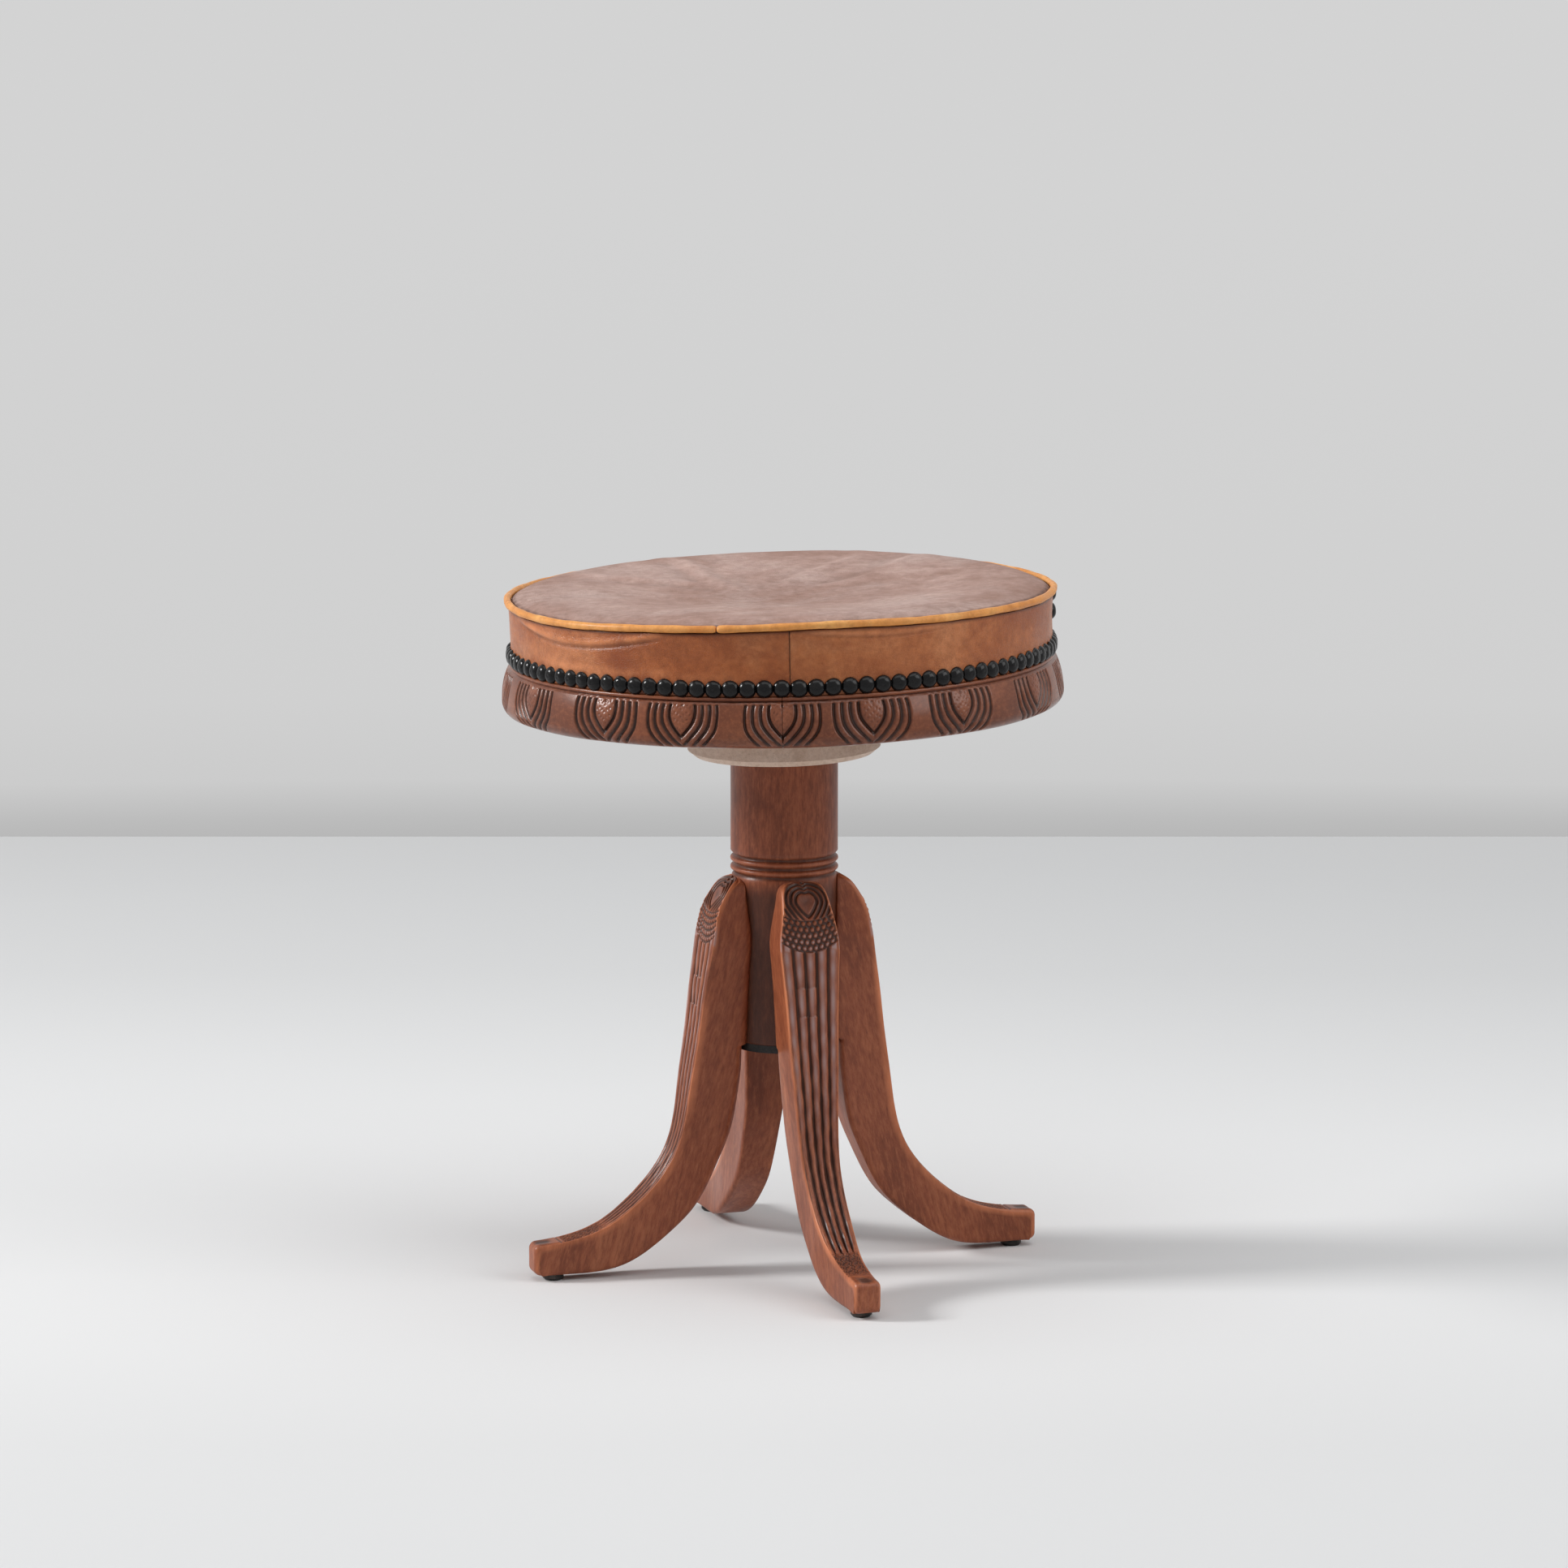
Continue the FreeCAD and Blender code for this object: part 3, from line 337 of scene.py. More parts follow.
# Node materials.
class Nodes:
    """The nodes of a material or world, with short calls for those that repeat."""

    def __init__(self, tree):
        self.tree = tree

    def fill(self, socket, given):
        """An input set to a value, or linked to an earlier output."""
        if isinstance(given, bpy.types.NodeSocket):
            self.tree.links.new(given, socket)
        else:
            socket.default_value = (*given, 1) if socket.type == "RGBA" else given

    def add(self, kind, places=(), **values):
        """A node with settings and inputs given by name, and further inputs by place."""
        node = self.tree.nodes.new("ShaderNode" + kind)
        for key, given in values.items():
            if hasattr(node, key):
                setattr(node, key, given)
            else:
                self.fill(node.inputs[key.replace("_", " ")], given)
        for place, given in dict(places).items():
            self.fill(node.inputs[place], given)
        return node

    def place(self):
        """Places on the object, in metres."""
        return self.add("TexCoord").outputs["Object"]

    def mark(self, name, kind="Fac"):
        """A mark that the mesh carries."""
        return self.add("Attribute", attribute_name=name).outputs[kind]

    def noise(self, place, scale, detail, roughness=0.5, distortion=0, squeeze=None):
        """Cloudy noise from 0 to 1, drawn out where the places are squeezed less along an axis."""
        if squeeze is not None:
            place = self.add("Mapping", Vector=place, Scale=squeeze).outputs["Vector"]
        return self.add("TexNoise", Vector=place, Scale=scale, Detail=detail, Roughness=roughness,
                        Distortion=distortion).outputs["Fac"]

    def maths(self, operation, first, second):
        """Two values put together."""
        return self.add("Math", {0: first, 1: second}, operation=operation).outputs[0]

    def spread(self, driver, low, high, to_low=0, to_high=1):
        """A value taken from one range to another, held inside it."""
        return self.add("MapRange", Value=driver, From_Min=low, From_Max=high, To_Min=to_low,
                        To_Max=to_high).outputs["Result"]

    def tones(self, driver, stops):
        """Colours along a value from 0 to 1, given as pairs of place and colour."""
        node = self.add("ValToRGB", Fac=driver)
        ramp = node.color_ramp
        ramp.elements[0].position, ramp.elements[0].color = stops[0][0], (*stops[0][1], 1)
        ramp.elements[1].position, ramp.elements[1].color = stops[-1][0], (*stops[-1][1], 1)
        for position, colour in stops[1:-1]:
            ramp.elements.new(position).color = (*colour, 1)
        return node.outputs["Color"]

    def greys(self, driver, levels):
        """Greys along one coordinate, given as pairs of place and grey."""
        low, high = levels[0][0], levels[-1][0]
        return self.tones(self.spread(driver, low, high),
                          [((level - low) / (high - low), (grey, grey, grey)) for level, grey in levels])

    def blend(self, share, first, second, mode="MIX"):
        """One colour mixed into another; a share or a colour is a socket or a plain value."""
        return self.add("Mix", {0: share, 6: first, 7: second}, data_type="RGBA",
                        blend_type=mode).outputs[2]

    def layers(self, colour, rows):
        """Colours laid over one another: the colour, what drives it, and the range to spread."""
        for over, driver, *limits in rows:
            colour = self.blend(self.spread(driver, *limits), colour, over)
        return colour

    def seen_rays(self):
        """1 for rays that show the backdrop and 0 for those that carry light."""
        path = self.add("LightPath").outputs
        seen = path["Is Camera Ray"]
        for ray in ("Is Glossy Ray", "Is Transmission Ray"):
            seen = self.maths("MAXIMUM", seen, path[ray])
        return seen

    def surface(self, share, first, second, end):
        """Two shaders mixed and linked to the tree's end node."""
        mixed = self.add("MixShader", {0: share, 1: first.outputs[0], 2: second.outputs[0]})
        self.tree.links.new(mixed.outputs[0], self.tree.nodes[end].inputs["Surface"])


class Finish(Nodes):
    """The nodes of a material, with its shader."""

    def __init__(self, name, roughness, coat=0, gloss=0.25):
        self.material = bpy.data.materials.new(name)
        self.material.use_nodes = True
        super().__init__(self.material.node_tree)
        self.shader = self.tree.nodes["Principled BSDF"]
        self.set(Roughness=roughness, Coat_Weight=coat, Coat_Roughness=0.22, Specular_IOR_Level=gloss)

    def set(self, **values):
        """Inputs of the shader, given by name."""
        for key, given in values.items():
            self.fill(self.shader.inputs[key.replace("_", " ")], given)

    def done(self, colour, roughness, height, relief, depth):
        """The material, with its colour, roughness and bump linked; depth is in metres."""
        bump = self.add("Bump", Height=height, Strength=relief, Distance=depth)
        self.set(Base_Color=colour, Roughness=roughness, Normal=bump.outputs["Normal"])
        return self.material


def toned(colour, share):
    """A colour made darker or lighter."""
    return tuple(min(1, share * part) for part in colour)


# Colours that the meshes' marks blend in: a dark brown for painted shade together with dirt, stain and
# dark joints, and a pale pink for a painted sheen.
SHADE_AND_GRIME_COLOUR = (0.02, 0.0065, 0.0036)
PAINTED_SHEEN_COLOUR = (0.42, 0.275, 0.26)
# How much wood's noise is stretched along its fibres and across them.
ALONG_FIBRES, ACROSS_FIBRES = 8, 110


def wood(name, dark, middle, light, along="Z", marked=False, roughness=(0.3, 0.5), coat=0.12,
         relief=0.12):
    """Stained wood with fibres along one axis, pores, drifting tone and, if marked, the mesh's marks:
    painted shade with dirt, stain and dark joints, wear with painted highlights, and a painted sheen.
    """
    finish = Finish(name, roughness[0], coat)
    place = finish.mark("grain", "Vector") if marked else finish.place()
    thin = np.array([ALONG_FIBRES if axis == along else ACROSS_FIBRES for axis in "XYZ"])
    fibres = finish.noise(place, scale=3, detail=6, roughness=0.62, distortion=0.3, squeeze=thin)
    rings = finish.noise(place, scale=2.2, detail=3, distortion=1.1, squeeze=0.17 * thin)
    drift = finish.noise(place, scale=14, detail=4)
    flecks = finish.noise(place, scale=34, detail=5, roughness=0.7, squeeze=thin ** 0.5)
    pores = finish.noise(place, scale=2.4, detail=2, squeeze=5 * thin)
    colour = finish.tones(rings, ((0.3, dark), (0.52, middle), (0.75, light)))
    colour = finish.layers(colour, (
        (toned(dark, 0.6), fibres, 0.35, 0.7, 0, 0.4), (middle, drift, 0.3, 0.65, 0.1, 0.75),
        (light, flecks, 0.5, 0.68, 0, 0.5), (dark, flecks, 0.5, 0.34, 0, 0.55),
        (toned(dark, 0.35), pores, 0.6, 0.72, 0, 0.3)))
    if marked:
        # Darker with painted shade and with dirt, stain and dark joints, where the mesh marks it.
        colour = finish.layers(colour, ((SHADE_AND_GRIME_COLOUR, finish.mark("carve"), 0.12, 0.9, 0, 0.86),))
        # Lighter where the mesh marks wear; some of these marks are painted highlights.
        wear_and_highlight = finish.maths("MULTIPLY", finish.mark("worn"), finish.spread(drift, 0.3, 0.6))
        colour = finish.blend(wear_and_highlight, colour, toned(light, 1.5))
        # A painted sheen in pale pink, where the mesh marks it.
        sheen_share = finish.maths("MULTIPLY", finish.mark("bloom"), finish.spread(drift, 0.25, 0.6, 0.4))
        colour = finish.blend(sheen_share, colour, PAINTED_SHEEN_COLOUR)
    return finish.done(colour, finish.spread(drift, 0.3, 0.75, roughness[1], roughness[0]),
                       finish.maths("ADD", fibres, pores), relief, 0.0006)


def leather(name, dark, middle, light, patch_scale=9, roughness=(0.34, 0.6), coat=0.12,
            marked=False, pebble=0.35, gloss=0.25):
    """Waxed hide: cloudy tone, fine pebble, scuffs and, if marked, painted shade in its folds and creases
    with dark seams, and wear with painted highlights.
    """
    finish = Finish(name, roughness[0], coat, gloss)
    place = finish.place()
    cloud = finish.noise(place, patch_scale, detail=7, roughness=0.62, distortion=0.6)
    fine = finish.noise(place, scale=160, detail=5, roughness=0.7)
    scuff = finish.noise(place, scale=42, detail=8, roughness=0.75)
    streaks = finish.noise(place, scale=11, detail=6, roughness=0.7, distortion=0.8,
                           squeeze=(1, 1, 4.5))
    cells = finish.add("TexVoronoi", Vector=place, Scale=620, feature="DISTANCE_TO_EDGE")
    colour = finish.tones(cloud, ((0.32, dark), (0.5, middle), (0.7, light)))
    colour = finish.layers(colour, (
        (toned(dark, 0.62), fine, 0.4, 0.7, 0, 0.5), (dark, streaks, 0.5, 0.72, 0, 0.6),
        (toned(light, 1.35), scuff, 0.58, 0.74, 0, 0.35)))
    if marked:
        # Painted shade in folds, creases and under the piping, and dark seams, where the mesh marks it.
        colour = finish.layers(colour, ((toned(dark, 0.2), finish.mark("carve"), 0.05, 1, 0, 0.88),))
        # Lighter where the mesh marks wear; some of these marks are painted highlights.
        wear_and_highlight = finish.maths("MULTIPLY", finish.mark("worn"), finish.spread(scuff, 0.3, 0.62))
        colour = finish.blend(wear_and_highlight, colour, toned(light, 1.5))
    edges = finish.spread(cells.outputs["Distance"], 0, 0.16)
    return finish.done(colour, finish.spread(scuff, 0.35, 0.7, *roughness),
                       finish.maths("ADD", edges, fine), pebble, 0.0004)


def metal(name, colour, worn_colour, metallic=1, roughness=(0.35, 0.6), scale=60, relief=0.2):
    """Old metal with spots, a drift of tone and slight pitting."""
    finish = Finish(name, roughness[0])
    finish.set(Metallic=metallic)
    place = finish.place()
    spots = finish.noise(place, scale, detail=6, roughness=0.7)
    pits = finish.noise(place, 9 * scale, detail=3)
    tint = finish.tones(spots, ((0.38, colour), (0.62, worn_colour)))
    tint = finish.blend(finish.spread(pits, 0.5, 0.75, 0, 0.5), tint, toned(colour, 0.5))
    return finish.done(tint, finish.spread(spots, 0.35, 0.7, *roughness), pits, relief, 0.0003)


leg_wood = wood("leg_wood", (0.165, 0.04, 0.017), (0.325, 0.09, 0.039), (0.49, 0.165, 0.072),
                marked=True, roughness=(0.3, 0.5), coat=0.16)
rim_wood = wood("rim_wood", (0.1, 0.024, 0.009), (0.18, 0.048, 0.018), (0.29, 0.092, 0.038),
                marked=True, roughness=(0.2, 0.38), coat=0.26)
column_wood = wood("column_wood", (0.115, 0.027, 0.011), (0.25, 0.066, 0.028),
                   (0.4, 0.125, 0.056), marked=True, coat=0.06)
pale_wood = wood("pale_wood", (0.5, 0.34, 0.24), (0.68, 0.51, 0.4), (0.76, 0.61, 0.51),
                 along="Y", roughness=(0.45, 0.65), coat=0, relief=0.3)
dowel_wood = wood("dowel_wood", (0.3, 0.19, 0.1), (0.42, 0.28, 0.16), (0.52, 0.37, 0.23),
                  along="X", roughness=(0.6, 0.8), coat=0)
hoop_wood = wood("hoop_wood", (0.24, 0.13, 0.06), (0.35, 0.2, 0.1), (0.44, 0.28, 0.15),
                 roughness=(0.6, 0.8), coat=0)
top_leather = leather("top_leather", (0.235, 0.116, 0.078), (0.385, 0.238, 0.195),
                      (0.54, 0.405, 0.365), patch_scale=7, marked=True, roughness=(0.55, 0.75),
                      coat=0, gloss=0.15)
band_hide = leather("band_hide", (0.26, 0.058, 0.014), (0.42, 0.122, 0.036),
                    (0.59, 0.225, 0.09), marked=True, roughness=(0.26, 0.48), coat=0.15)
quarter_hide = leather("quarter_hide", (0.3, 0.074, 0.02), (0.48, 0.155, 0.051),
                       (0.64, 0.265, 0.115), marked=True, roughness=(0.28, 0.5), coat=0.15)
piping_hide = leather("piping_hide", (0.64, 0.235, 0.052), (0.82, 0.35, 0.09),
                      (0.92, 0.47, 0.15), patch_scale=30, roughness=(0.36, 0.58), pebble=0.2)
plate_iron = metal("plate_iron", (0.018, 0.017, 0.017), (0.05, 0.045, 0.042), 0.7)
screw_steel = metal("screw_steel", (0.3, 0.29, 0.28), (0.18, 0.13, 0.1))
thread_iron = metal("thread_iron", (0.2, 0.19, 0.18), (0.1, 0.075, 0.06), roughness=(0.3, 0.5))
glide_steel = metal("glide_steel", (0.03, 0.028, 0.027), (0.12, 0.1, 0.09), 0.8)
nail_black = metal("nail_black", (0.002, 0.002, 0.0025), (0.008, 0.007, 0.007), 0,
                   roughness=(0.13, 0.24), scale=140, relief=0.06)


# Legs.
def leg_rails():
    """Outer and inner edge of a leg's side, as even lines in its own plane."""
    bend = TOE_REACH - TOE_ROUND
    outer = [(FOOT_RADIUS, LEG_TOP),
             *from_shares(LEG_OUTER_SHARES, (FOOT_RADIUS, TOE_TOP), (TOE_REACH, LEG_TOP)),
             (bend, TOE_TOP)]
    inner = [(FOOT_RADIUS, COLUMN_BOTTOM),
             *from_shares(LEG_INNER_SHARES, (FOOT_RADIUS, GLIDE_HEIGHT), (TOE_REACH, COLUMN_BOTTOM)),
             (TOE_FLAT_END, GLIDE_HEIGHT)]
    outer_line = np.concatenate([
        smooth_line(outer), arc_line((bend, TOE_TOP - TOE_ROUND), TOE_ROUND, 81, 0),
        arc_line((bend, GLIDE_HEIGHT + TOE_ROUND), TOE_ROUND, 0, -90)])
    inner_line = np.concatenate([
        [(FOOT_RADIUS, LEG_TOP), (FOOT_RADIUS, COLUMN_BOTTOM + 0.5)], smooth_line(inner),
        [(bend, GLIDE_HEIGHT)]])
    return evenly(outer_line, 0.6), evenly(inner_line, 0.3)


def normals(line):
    """Directions at right angles to a line, to its right."""
    tangent = np.gradient(line, axis=0)
    tangent /= np.linalg.norm(tangent, axis=1)[:, None]
    return np.stack([tangent[:, 1], -tangent[:, 0]], axis=1)


def paired(outer, inner):
    """For each point of the outer edge, the point of the inner edge across the leg from it."""
    inward = normals(outer)
    gap = inner[None] - outer[:, None]
    facing = inward[:, None]
    aside = np.abs(gap[..., 0] * facing[..., 1] - gap[..., 1] * facing[..., 0])
    ahead = (gap * facing).sum(axis=-1)
    behind = np.where(ahead < -0.05, 1000, 0)
    found = np.argmin(aside + behind + 0.02 * np.abs(ahead), axis=1)
    last = int(np.argmax(outer[:, 0] > TOE_FLAT_END + 2))
    share = np.linspace(0, 1, len(outer) - last)
    tail = found[last] + share * (len(inner) - 1 - found[last])
    found = np.maximum.accumulate(np.concatenate([found[:last], tail]))
    reach = 20
    padded = np.concatenate([np.full(reach, found[0]), found, np.full(reach, found[-1])])
    smoothed = np.convolve(padded, np.ones(2 * reach + 1) / (2 * reach + 1), mode="valid")
    steps = np.arange(len(outer))
    keep = np.maximum(ease(steps, len(outer) - 40, len(outer) - 1), fade(steps, 0, 25))
    where = smoothed * (1 - keep) + found * keep
    return read_off(where, np.arange(len(inner)), inner), inward


def leg_half_width(out, level):
    """Half width of a leg at a distance from the axis and a level."""
    side = from_shares(LEG_FRONT_SHARES, (KNEE_HALF, TOE_TOP), (WIDEST_HALF, LEG_TOP))
    arch = from_shares(LEG_ARCH_SHARES, (0, LEG_TOP), (SHOULDER_HALF, LEG_TOP - 10))
    front = np.concatenate([smooth_line([*side, *arch[:2]]), smooth_line(arch[1:])[1:]])
    plan = smooth_line(from_shares(LEG_PLAN_SHARES, (TOE_HALF, FOOT_RADIUS), (KNEE_HALF, TOE_REACH)))
    by_level = np.interp(level, front[:, 1], front[:, 0])
    by_reach = np.interp(out, plan[:, 1], plan[:, 0], left=99)
    return np.minimum(by_level, by_reach)


def heart_gauge(across, way):
    """1 on the outline of a leg's heart, less inside it and more outside."""
    wide, over, under = HEART_SIZE
    down = way - HEART_PLACE
    lobe = over * (1 - 0.16 * swell(across, 0.28 * wide))
    high = np.where(down < 0, lobe, under)
    power = np.where(down < 0, 2.2, 1.25)
    return (np.abs(across / wide) ** power + np.abs(down / high) ** power) ** (1 / power)


def groove(offset, width):
    """A rounded cut of depth 1 at offset 0 that ends at half its width."""
    return np.cos(0.5 * np.pi * unit(np.abs(offset) / (0.5 * width))) ** 1.5


def pearls(across, row_place, pitch, radius):
    """Depth 0 on the crown of staggered pearls and 1 on the ground between them."""
    row = np.floor(row_place)
    beside = wrapped(across / pitch + 0.5 * (row % 2))
    above = row_place - row - 0.5
    far = np.hypot(beside * pitch, above * pitch * 0.9) / radius
    return np.where(far < 1, round_off(far), 1)


def reed_place(across, half):
    """A place among a leg's reeds, counted from the middle one, and the place in its own reed."""
    reed = across / half * 0.5 * REED_COUNT
    return reed, wrapped(reed)


def off_arris(across, half, start, end):
    """1 over a leg's edge and 0 beside its arrises, with the fall between two distances from them."""
    return fade(np.abs(across), half - start, half - end)


def leg_carving(across, way, half):
    """Depth of the carving on a leg's outer edge."""
    edge_free = off_arris(across, half, 1.6, 0.7)
    heart = heart_gauge(across, way)
    heart_cuts = [1.35 * groove((heart - level) * HEART_SCALE, 2.9) for level in HEART_REEDS]
    depth = np.max(heart_cuts, axis=0) + np.where(heart < 1, 0.5 * (1 - heart), 0)
    bow = (across / 17.5) ** 2
    upper = PEARLS_START - 4 * bow
    lower = PEARLS_END - 5.5 * bow
    rows = (way - upper) / (lower - upper) * PEARL_ROWS
    depth = depth * fade(way, upper - 0.6, upper) * edge_free
    in_pearls = window(way, upper - 0.4, upper + 0.4, lower - 0.4, lower + 0.4)
    depth += in_pearls * 1.45 * pearls(across, rows, 4.1, 1.45)
    depth = np.maximum(depth, 1.4 * groove(way - lower, 1.8))
    reed, inside_reed = reed_place(across, half)
    reed_number = np.round(reed)
    wobble = (0.03 * np.sin(way * 0.13 + reed_number * 1.9)
              + 0.025 * np.sin(way * 0.37 + reed_number * 4.1)) * ease(way, 60, 150)
    shape = 2.2 * unit(2 * np.abs(inside_reed + wobble)) ** 2.7
    fine = 0.3 * groove(np.abs(inside_reed) * half * 0.4 - 1.3, 0.9) * ease(way, 95, 150)
    middle = (reed > -1.5) & (reed < 0.5)
    for mark in REED_STEPS:
        before = unit((way - mark + 11 + 2 * np.cos(reed * FULL_TURN)) / 11)
        shape += np.where(middle, 0.6 * before * fade(way, mark - 0.6, mark + 0.2), 0)
    cuff = ease(way, CUFF_START, CUFF_START + 8)
    reeds = ease(way, lower, lower + 1.2) * (1 - cuff)
    depth += reeds * (shape + fine) * unit(edge_free + 0.35)
    spot = np.sin(across * 2.3 + 1.4 * np.sin(way * 1.1)) * np.sin(way * 2.1 + 1.7 * np.sin(across * 0.9))
    stipple = 0.5 * (1 - spot) * cuff * fade(way, CUFF_END - 2.5, CUFF_END)
    depth += 1.2 * stipple * edge_free
    depth = np.maximum(depth, 0.8 * groove(way - CUFF_END - 1, 2.2) * edge_free)
    return depth + 0.7 * groove(across, half * 1.3) * window(way, 306, 311, 317, 322)


def leg_marks(across, way, half, cut):
    """Marks on a leg's outer edge: darker with painted shade and stain, lighter where it wears, and a
    painted sheen and highlights.
    """
    heart = heart_gauge(across, way)
    # Painted shade under the seat over the top of the face, over the dark stain of the heart's ground.
    crest = fade(way, 24, 34) * off_arris(across, half, 2.5, 0.8)
    crest = crest * (0.6 + 0.22 * ease(heart, 0.85, 1.1))
    # Darker lower down the reeds.
    low_reeds = 0.48 * window(way, 130, 220, 262, 270)
    # The toe block is stained darker, and its end is darker too.
    toe = 0.45 * window(way, 268, 276, 316, 321) * off_arris(across, half, 2, 0.6)
    toe = toe + 0.3 * ease(way, 304, 314)
    # Darker in the deep cuts as painted shade, and over the marks above.
    shade_and_grime = unit((cut - 0.35) / 1.1 + crest + low_reeds + toe)
    arris = (1 - off_arris(across, half, 2.2, 0.6)) * (1 - 0.7 * (cut > 0.4))
    # The pearls' tips are lighter, partly from wear and partly as a painted highlight.
    pearl_tips = window(way, 34, 46, 50, 53) * fade(cut, 0.05, 0.4)
    on_reeds = ease(way, 49, 53) * (1 - 0.95 * ease(way, 130, 215))
    reed, inside_reed = reed_place(across, half)
    # A painted highlight down the left side of each reed.
    reed_highlight = swell(inside_reed + 0.1, 0.2)
    reed_highlight = reed_highlight * (0.75 + 0.25 * np.sin(way * 0.33 + np.round(reed) * 2.2 + np.sin(way * 0.11)))
    bloom = 0.95 * reed_highlight * fade(cut, 0.25, 1.1) * on_reeds
    # A faint painted sheen inside the heart.
    bloom += 0.1 * fade(heart, 0.6, 1) * (way < 30)
    return shade_and_grime, np.maximum(0.8 * arris, 0.3 * pearl_tips), np.maximum(bloom, pearl_tips)


def on_foot(beside):
    """How far the column's foot reaches at a distance beside its middle, with a hair's clearance."""
    return np.sqrt(np.clip(FOOT_RADIUS ** 2 - beside ** 2, 0, None)) + 0.03


def leg_flank(outer, opposite, soft):
    """One side of a leg from its outer to its inner edge, hollowed where it sits on the column."""
    gap = opposite - outer
    thick = np.linalg.norm(gap, axis=1)[:, None]
    steps = np.linspace(0, 1, 15)[None, 1:]
    share = np.minimum(soft / np.maximum(thick, 0.01), 0.5) * (1 - steps) + steps
    side_x, side_z = np.moveaxis(outer[:, None] + gap[:, None] * share[..., None], -1, 0)
    side_y = leg_half_width(side_x, side_z)
    low = unit((share - 0.93) / 0.07)
    side_y = side_y - 1.1 * round_off(low) * (side_y > 2)
    held = ease(side_z, COLUMN_BOTTOM - 1.5, COLUMN_BOTTOM)
    side_x = side_x - (FOOT_RADIUS - on_foot(side_y)) * share ** 3 * held
    return np.stack([side_x, side_y, side_z], axis=-1)


def leg_back(opposite, half):
    """A leg's inner edge, from one side to the other."""
    back_y = half * np.linspace(1, -1, 12)[None, 1:-1]
    back_z = opposite[:, None, 1] + 0 * back_y
    held = ease(back_z, COLUMN_BOTTOM - 1.5, COLUMN_BOTTOM)
    back_x = opposite[:, None, 0] + (on_foot(back_y) - FOOT_RADIUS) * held
    return np.stack([back_x, back_y, back_z], axis=-1)


def make_leg(number):
    """One sabre leg: carved outer edge, smooth sides, rounded arrises and the seat at the column."""
    outer, inner = leg_rails()
    opposite, inward = paired(outer, inner)
    way = way_along(outer)[:, None]
    half = leg_half_width(outer[:, 0], outer[:, 1])[:, None]
    arris = 1.5 + 2 * ease(way, 290, 318)
    soft = np.minimum(arris, 0.5 * half)
    across = np.concatenate([np.linspace(-1, -0.88, 7), np.linspace(-0.88, 0.88, 61)[1:-1],
                             np.linspace(0.88, 1, 7)])[None, :] * half
    corner = unit((np.abs(across) - (half - arris)) / arris)
    cut = leg_carving(across, way, half) * off_arris(across, half, 0.9, 0.2)
    sway = 0.22 * ripple(across * 0.12, way * 0.05, 3 + number) * ease(way, 20, 60)
    depth = soft * round_off(corner) + cut + sway
    face_x, face_z = np.moveaxis(outer[:, None] + inward[:, None] * depth[..., None], -1, 0)
    face = np.stack([face_x, across, face_z], axis=-1)
    flank = leg_flank(outer, opposite, soft)
    mirror = flank[:, ::-1] * np.array([1, -1, 1])
    grid = np.concatenate([face, flank, leg_back(opposite, flank[:, -1:, 1]), mirror], axis=1)
    fibre_slope, apart = radians(-76), (60 * number, 0, 0)
    grain = (turned(grid, fibre_slope, 2, 0)[..., [1, 2, 0]] + apart) * MILLIMETRE
    columns = across.shape[1]
    on_face = (slice(None), slice(columns))
    shade_and_grime, wear_and_highlight, bloom = (field(grid, on_face, mark) for mark in leg_marks(across, way, half, cut))
    # The sides are darker, more so towards the toe; their edges next to the face are lighter with wear.
    shade_and_grime[:, columns:] = 0.12 + 0.12 * ease(way, 210, 310)
    wear_and_highlight[:, [columns, -1]] = 0.5
    placed = turned(grid, FIRST_LEG_TURN + 0.25 * FULL_TURN * number, 0, 1)
    name = LEG_NAMES[number]
    mesh = skin(name + "_carved", placed, carve=shade_and_grime, worn=wear_and_highlight, bloom=bloom, grain=grain)
    piece(name + "_carved", mesh, leg_wood, "base", (name,))


# Column.
def column_section():
    """Half section of the upright part of the column, with its grooves and beads."""
    section = [(0.5, COLUMN_BOTTOM), (FOOT_RADIUS - 0.6, COLUMN_BOTTOM),
               (FOOT_RADIUS, COLUMN_BOTTOM + 0.6)]
    section += [(FOOT_RADIUS, level)
                for level in np.linspace(COLUMN_BOTTOM + 2, GROOVE_LEVELS[0] - 2.4, 40)]
    for level in GROOVE_LEVELS:
        section += three_point_arc((FOOT_RADIUS, level - 1.9), (35.2, level),
                                   (COLUMN_RADIUS - 0.2, level + 1.3), 7)[1:-1].tolist()
        if level < GROOVE_LEVELS[-1]:
            section += three_point_arc((COLUMN_RADIUS - 0.45, level + 1.5),
                                       (COLUMN_RADIUS + 0.25, level + 3),
                                       (COLUMN_RADIUS - 0.45, level + 4.3), 9).tolist()
    edge = 1.2
    section += [(COLUMN_RADIUS, level)
                for level in np.linspace(GROOVE_LEVELS[-1] + 2.2, COLUMN_TOP - edge, 26)]
    return section + arc_line((COLUMN_RADIUS - edge, COLUMN_TOP - edge), edge, 18, 90, 5).tolist()


